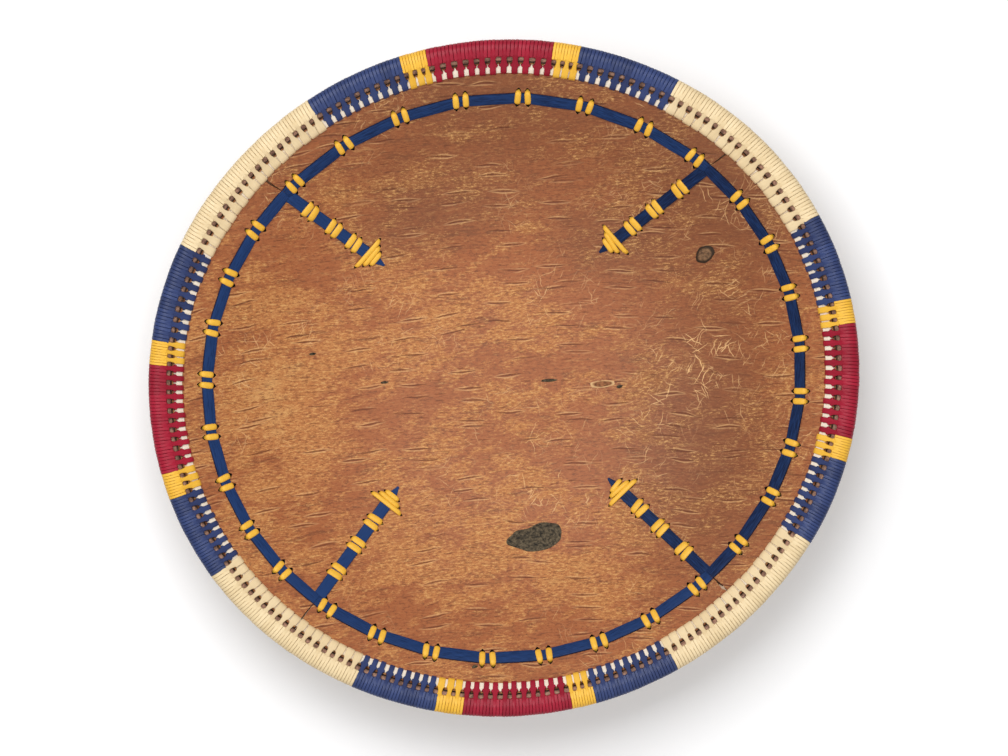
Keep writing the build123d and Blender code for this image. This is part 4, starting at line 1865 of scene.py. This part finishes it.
@dataclass
class RingBand:
    """The blue strip round the wall, in four lengths, with its pairs of stitches.

    Attributes:
        wall: The wall that it lies on.
        inset: Distance of its middle from the outline.
        darts: The darts at which its lengths meet.
        spans: Bearings of the first and last pair on each length.
        width: The strip's width between its pairs.
        pinch: Its width under a stitch.
        strip: Its thickness.
        pairs: Pairs of stitches on each length.
        pair_gap: Distance between the stitches of a pair.
        hole_out: Distance of an awl hole's middle from its stitch's end.
    """

    wall: Wall
    inset: float
    darts: Sequence[Dart]
    spans: Sequence[tuple[float, float]]
    width: float = 8.0 * MM
    pinch: float = 7.0 * MM
    strip: float = 1.0 * MM
    pairs: int = 8
    pair_gap: float = 6.4 * MM
    hole_out: float = 1.0 * MM

    def seat(self, angle: float, aside: float = 0.0) -> Seat:
        """Finds a seat on the ring.

        Args:
            angle: Outward direction in degrees.
            aside: Distance outside the ring's middle line.

        Returns:
            The seat.
        """
        outward = Vector((math.cos(math.radians(angle)), math.sin(math.radians(angle)), 0.0))
        along = Vector((-outward.y, outward.x, 0.0))
        middle = self.wall.oval.place(angle, -self.inset + aside, 0.0)
        return Seat(self.wall, middle, outward, along)

    def pair_angles(self, number: int) -> list[float]:
        """Gives the outward directions of one length's pairs."""
        first, last = (self.wall.oval.at_bearing(bearing, -self.inset) for bearing in self.spans[number])
        return [first + (last - first) * k / (self.pairs - 1) for k in range(self.pairs)]

    def strip_stations(self, number: int, draw: random.Random) -> list[Station]:
        """Lays one length of strip, nearly straight from pair to pair.

        Args:
            number: Which length, from 0.
            draw: Source of small unevenness.

        Returns:
            The stations of the strip.
        """
        oval = self.wall.oval
        start = oval.at_bearing(self.darts[number].bearing, -self.inset)
        end = oval.at_bearing(self.darts[(number + 1) % 4].bearing, -self.inset)
        end += 360 if end < start else 0
        knots = [start + 0.03, *self.pair_angles(number), end - 0.03]
        stations = []
        for first, last in zip(knots, knots[1:]):
            steps = max(3, round((last - first) / 1.0))
            reach = oval.arc((first + last) / 2)[2] - self.inset
            sag = reach * (1 - math.cos(math.radians(last - first) / 2))
            wide = self.width * draw.uniform(0.93, 1.05)
            for step in range(steps + (last == knots[-1])):
                share = step / steps
                bow = 4 * share * (1 - share)
                seat = self.seat(first + (last - first) * share, -0.8 * sag * bow)
                height = self.wall.sheet / 2 + (0.05 + 0.25 * bow) * MM
                base = seat.place(Vector((0.0, 0.0, height)))
                side = (seat.place(Vector((MM, 0.0, height))) - base).normalized()
                crown = side.cross(seat.along).normalized()
                width = self.pinch + (wide - self.pinch) * math.sqrt(bow)
                stations.append(Station(base, side, crown if crown.z > 0 else -crown, width, self.strip))
        return stations

    def build(self, blue: bpy.types.Material, yellow: bpy.types.Material, tray: BarkTray) -> None:
        """Makes the strips and stitches, and gives the tray its awl holes.

        Args:
            blue: Finish of the strips.
            yellow: Finish of the stitches.
            tray: The bark that they are sewn through.
        """
        draw = random.Random(SEED + 1)
        stitching = Stitching(self.wall, self.wall.sheet / 2 + self.strip + 0.15 * MM)
        half = self.pinch / 2 + 0.5 * MM
        over = stitching.over_mesh(half)
        hole = stitching.hole_mesh()
        for number in range(4):
            strip = Pile(f"ring_strip_{number + 1}_root")
            length = strand_mesh("ring_strip", self.strip_stations(number, draw), FLAT_SECTION)
            strip.add(length, lambda p: p, draw.random())
            settle(strip.finish(blue), "strip_blue", f"ring_strip_{number + 1}")
            threads = Pile(f"ring_stitching_{number + 1}_roots")
            ends: list[tuple[Vector, Vector]] = []
            for middle in self.pair_angles(number):
                reach = self.wall.oval.arc(middle)[2] - self.inset
                for side in (-1, 1):
                    aside = math.degrees(side * self.pair_gap / 2 / reach) + draw.uniform(-0.08, 0.08)
                    seat = self.seat(middle + aside)
                    seat = lean(seat, draw.uniform(-7, 7))
                    threads.add(over, seat.place, draw.uniform(0.35, 0.65))
                    holes = []
                    for end in (1, -1):
                        push = end * (half + self.hole_out)
                        tray.holes.add(hole, lambda p: seat.place(Vector((p.x + push, p.y, p.z))))
                        holes.append(seat.middle + seat.across * (end * half * math.cos(self.wall.angle)))
                    ends.append((holes[0], holes[1]))
            for (_, leave), (enter, _) in zip(ends, ends[1:]):
                threads.add(stitching.under_mesh(leave, enter, self.wall.sheet / 2 + tray.lap), lambda p: p)
            settle(threads.finish(yellow), "root_yellow", f"ring_stitching_{number + 1}")


def lean(seat: Seat, turn: float) -> Seat:
    """Turns a seat's directions.

    Args:
        seat: The seat.
        turn: The turn in degrees.

    Returns:
        The turned seat.
    """
    angle = math.radians(turn)
    across = seat.across * math.cos(angle) + seat.along * math.sin(angle)
    along = seat.along * math.cos(angle) - seat.across * math.sin(angle)
    return Seat(seat.wall, seat.middle, across, along)


@dataclass
class DartStrips:
    """The blue strips over the darts, with their stitches.

    Attributes:
        wall: The wall that they lie on.
        inset: Distance of the ring from the outline.
        darts: The darts.
        width: A strip's width.
        strip: Its thickness.
        point: Length of its pointed end.
        shares: Places of its pairs, as shares of its length from the tip.
        pair_gap: Distance between the stitches of a pair.
        end_stitches: Distances from the tip and half lengths of the three stitches there.
        hole_out: Distance of an awl hole's middle from its stitch's end.
    """

    wall: Wall
    inset: float
    darts: Sequence[Dart]
    width: float = 7.5 * MM
    strip: float = 1.0 * MM
    point: float = 11.0 * MM
    shares: tuple[float, ...] = (0.316, 0.52, 0.755)
    pair_gap: float = 4.4 * MM
    end_stitches: tuple[tuple[float, float], ...] = (
        (6.8 * MM, 4.4 * MM),
        (9.7 * MM, 7.0 * MM),
        (12.6 * MM, 10.6 * MM),
    )
    hole_out: float = 0.5 * MM

    def strip_mesh(self, dart: Dart, ring_half: float) -> bpy.types.Mesh:
        """Lays a strip from its pointed tip to the ring.

        Args:
            dart: The dart that it covers.
            ring_half: Half of the ring strip's width.

        Returns:
            The mesh.
        """
        tip, outward, across = dart.line(self.wall, self.inset)
        reach = dart.length
        steps = 40
        stations = []
        for number in range(steps + 1):
            along = reach * number / steps
            share = min(1.0, along / self.point)
            width = self.width * max(0.16, share**0.65)
            spot = tip + outward * along
            height = self.wall.sheet / 2 + 0.05 * MM
            base = self.wall.over(spot.x, spot.y, height)
            crown = (self.wall.over(spot.x, spot.y, height + MM) - base).normalized()
            tucked = 0.3 if along > reach - ring_half else 1.0
            stations.append(Station(base, across, crown, width, self.strip * (0.5 + 0.5 * share) * tucked))
        return strand_mesh("dart_strip", stations, FLAT_SECTION)

    def build(self, blue: bpy.types.Material, yellow: bpy.types.Material, tray: BarkTray) -> None:
        """Makes the strips and stitches, and gives the tray its awl holes.

        Args:
            blue: Finish of the strips.
            yellow: Finish of the stitches.
            tray: The bark that they are sewn through.
        """
        draw = random.Random(SEED + 2)
        top = self.wall.sheet / 2 + self.strip + 0.15 * MM
        stitching = Stitching(self.wall, top, hole_reach=1.5 * MM, hole_width=1.2 * MM)
        slim = Stitching(self.wall, top, width=3.0 * MM, hole_reach=1.5 * MM, hole_width=1.0 * MM)
        for number, dart in enumerate(self.darts, 1):
            tip, outward, across = dart.line(self.wall, self.inset)
            strip = Pile(f"dart_strip_{number}_root")
            length = self.strip_mesh(dart, self.width / 2 * math.cos(self.wall.angle))
            strip.add(length, lambda p: p, draw.random())
            settle(strip.finish(blue), "strip_blue", f"dart_strip_{number}")
            half = self.width / 2 + 0.6 * MM
            rows = list(self.end_stitches)
            for share in self.shares:
                rows += [(share * dart.length + side * self.pair_gap / 2, half) for side in (-1, 1)]
            threads = Pile(f"dart_stitching_{number}_roots")
            ends: list[tuple[Vector, Vector]] = []
            for along, reach in rows:
                seat = Seat(self.wall, tip + outward * along, across, outward)
                seat = lean(seat, draw.uniform(-6, 6))
                form = slim if (along, reach) in self.end_stitches else stitching
                threads.add(form.over_mesh(reach), seat.place, draw.uniform(0.35, 0.65))
                for end in (1, -1):
                    push = end * (reach + self.hole_out)
                    tray.holes.add(form.hole_mesh(), lambda p: seat.place(Vector((p.x + push, p.y, p.z))))
                ends.append((seat.middle + seat.across * reach, seat.middle - seat.across * reach))
            for (_, leave), (enter, _) in zip(ends, ends[1:]):
                threads.add(stitching.under_mesh(leave, enter, self.wall.sheet / 2 + tray.lap), lambda p: p)
            settle(threads.finish(yellow), "root_yellow", f"dart_stitching_{number}")


@dataclass(frozen=True)
class Lamp:
    """A square lamp that points at the basket.

    Attributes:
        name: Its name.
        place: Where it hangs, in the photo's directions.
        size: Its side.
        power: Its power in watts.
    """

    name: str
    place: tuple[float, float, float]
    size: float
    power: float


@dataclass
class Studio:
    """Floor, lamps, world and camera.

    Attributes:
        across: Width of the picture at the rim's height.
        rim_z: The rim's height.
        turn: The camera's turn about the vertical, in radians.
        lens: The camera's focal length in mm.
        sensor: Width of its sensor in mm.
        lamps: The lamps.
        sky: Strength of the even light from all round.
        glow: Light that the floor adds to look white as a backdrop.
    """

    across: float
    rim_z: float
    turn: float
    lens: float = 240.0
    sensor: float = 36.0
    lamps: tuple[Lamp, ...] = (
        Lamp("key", (-0.23, 0.50, 1.55), 0.9, 19.0),
        Lamp("fill", (0.2, -1.1, 1.5), 1.6, 7.0),
    )
    sky: float = 0.42
    glow: float = 0.14

    def build(self) -> None:
        """Sets up everything around the basket."""
        self.build_floor()
        self.build_world()
        for lamp in self.lamps:
            self.build_lamp(lamp)
        self.build_camera()
        bpy.context.scene.view_settings.view_transform = "Standard"

    def build_floor(self) -> None:
        """Makes a white floor that keeps the shadow."""
        bm = bmesh.new()
        bmesh.ops.create_grid(bm, x_segments=1, y_segments=1, size=6.0)
        paint = Paint("floor")
        paint.shader.inputs["Base Color"].default_value = (0.86, 0.86, 0.87, 1.0)
        paint.shader.inputs["Roughness"].default_value = 0.9
        paint.shader.inputs["Emission Color"].default_value = (1.0, 1.0, 1.0, 1.0)
        wire = Wiring(paint.tree)
        glow = wire.math("MULTIPLY", wire.backdrop(), self.glow)
        paint.link(glow, paint.shader.inputs["Emission Strength"])
        floor = bpy.data.objects.new("floor", to_mesh(bm, "floor", paint.material))
        bpy.context.scene.collection.objects.link(floor)

    def build_world(self) -> None:
        """Lights the scene evenly and shows white behind it."""
        world = bpy.data.worlds.new("studio")
        bpy.context.scene.world = world
        world.use_nodes = True
        wire = Wiring(world.node_tree)
        lit = world.node_tree.nodes["Background"]
        lit.inputs["Color"].default_value = (1.0, 1.0, 1.0, 1.0)
        wire.set(lit.inputs["Strength"], wire.step(wire.backdrop(), 0.0, 1.0, self.sky, 1.0))

    def build_lamp(self, lamp: Lamp) -> None:
        """Hangs a lamp.

        Args:
            lamp: The lamp.
        """
        light = bpy.data.lights.new(lamp.name, "AREA")
        light.size = lamp.size
        light.energy = lamp.power
        holder = bpy.data.objects.new(lamp.name, light)
        place = Vector(lamp.place)
        place.rotate(Euler((0.0, 0.0, self.turn)))
        holder.location = place
        holder.rotation_euler = (-place).to_track_quat("-Z", "Y").to_euler()
        bpy.context.scene.collection.objects.link(holder)

    def build_camera(self) -> None:
        """Hangs the camera straight above the basket."""
        camera = bpy.data.cameras.new("camera")
        camera.lens = self.lens
        camera.sensor_width = self.sensor
        holder = bpy.data.objects.new("camera", camera)
        holder.location = (0.0, 0.0, self.rim_z + self.across * self.lens / self.sensor)
        holder.rotation_euler = (0.0, 0.0, self.turn)
        bpy.context.scene.collection.objects.link(holder)
        bpy.context.scene.camera = holder


# Sizes that the frame doesn't give
SHEET = 2.0 * MM
WALL_ANGLE = math.radians(35)
BASE_ACROSS = 92.0 * MM
RING_INSET = 34.0 * MM
PHOTO_ACROSS = 608.8 * MM
DARTS = (
    Dart(34.0, -8.0, 82.5 * MM, -1),
    Dart(127.8, 4.2, 73.5 * MM, 1),
    Dart(217.8, 4.3, 84.4 * MM, -1),
    Dart(304.2, 0.2, 84.6 * MM, 1),
)
RING_SPANS = ((37.1, 125.1), (137.3, 209.0), (220.4, 300.9), (312.7, 385.0))
KNOTS = (
    Knot("large_knot", 18.6, -97.8, 16.6, 8.0, 0.35, 0.22),
    Knot("small_knot", 123.0, 75.8, 5.6, 4.9, finish=SMALL_KNOT),
    Knot("scar_left", -117.5, 14.8, 2.2, 0.9),
    Knot("scar_middle_left", -73.4, -2.7, 2.6, 0.8),
    Knot("scar_low", -17.8, -175.5, 2.0, 1.0),
    Knot("scar_middle", 27.5, -1.5, 5.5, 1.0),
    Knot("eye_right", 60.5, -3.6, 8.0, 2.5, finish=EYE),
    Knot("scar_right", 71.0, -5.2, 2.1, 1.1),
)


def rod_of(node: str, oval: Oval) -> tuple[float, float, float]:
    """Reads a hoop's place and size from the frame.

    Args:
        node: The hoop's node.
        oval: The rim's outline.

    Returns:
        Its u, its height and its diameter.
    """
    low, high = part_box(node)
    diameter = high.z - low.z
    return high.x - diameter / 2 - oval.length / 2, (high.z + low.z) / 2, diameter


def main() -> None:
    """Builds the basket and its studio."""
    logging.basicConfig(level=logging.INFO, format="%(message)s")
    low, high = CAD_BOX
    oval = Oval(high.x - low.x, high.y - low.y)
    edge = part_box("bark_tray")[1]
    lip = SHEET / 2
    wall = Wall(
        oval=oval,
        flat_u=(BASE_ACROSS - (oval.length + oval.width) / 2) / 2,
        edge_u=edge.x - lip * math.sin(WALL_ANGLE) - oval.length / 2,
        depth=edge.z - lip * math.cos(WALL_ANGLE) - lip,
        angle=WALL_ANGLE,
        sheet=SHEET,
    )
    fibre = fibre_group()
    grain = grain_group()
    roots = {colour: finish.make(fibre) for colour, finish in ROOTS.items()}
    blue = BLUE_STRIP.make(fibre)
    tray = BarkTray(wall, RING_INSET, DARTS)
    RingBand(wall, RING_INSET, DARTS, RING_SPANS).build(blue, roots[RootColour.YELLOW], tray)
    DartStrips(wall, RING_INSET, DARTS).build(blue, roots[RootColour.YELLOW], tray)
    outside = OuterBark().make(grain)
    tray.build((InnerBark().make(grain), outside, BARK_EDGE_AND_SHADE.make()), AWL_HOLE_SHADE.make())
    tray.build_flaps(outside)
    knots = {finish: finish.make() for finish in (KNOT, SMALL_KNOT, EYE)}
    for knot in KNOTS:
        tray.build_knot(knot, knots[knot.finish])
    hoop_u, hoop_z, hoop = rod_of("rim_hoop", oval)
    edge_u, edge_z, edge_hoop = rod_of("edge_hoop", oval)
    rim = Rim(wall, hoop_u, hoop_z, hoop, edge_u, edge_z, edge_hoop)
    rim.build_hoops(WILLOW.make())
    rim.build_binding(BINDING_FINISH.make(fibre))
    rim.build_lashing(roots)
    Studio(PHOTO_ACROSS, hoop_z, math.radians(-PHOTO_TURN)).build()


if __name__ == "__main__":
    main()
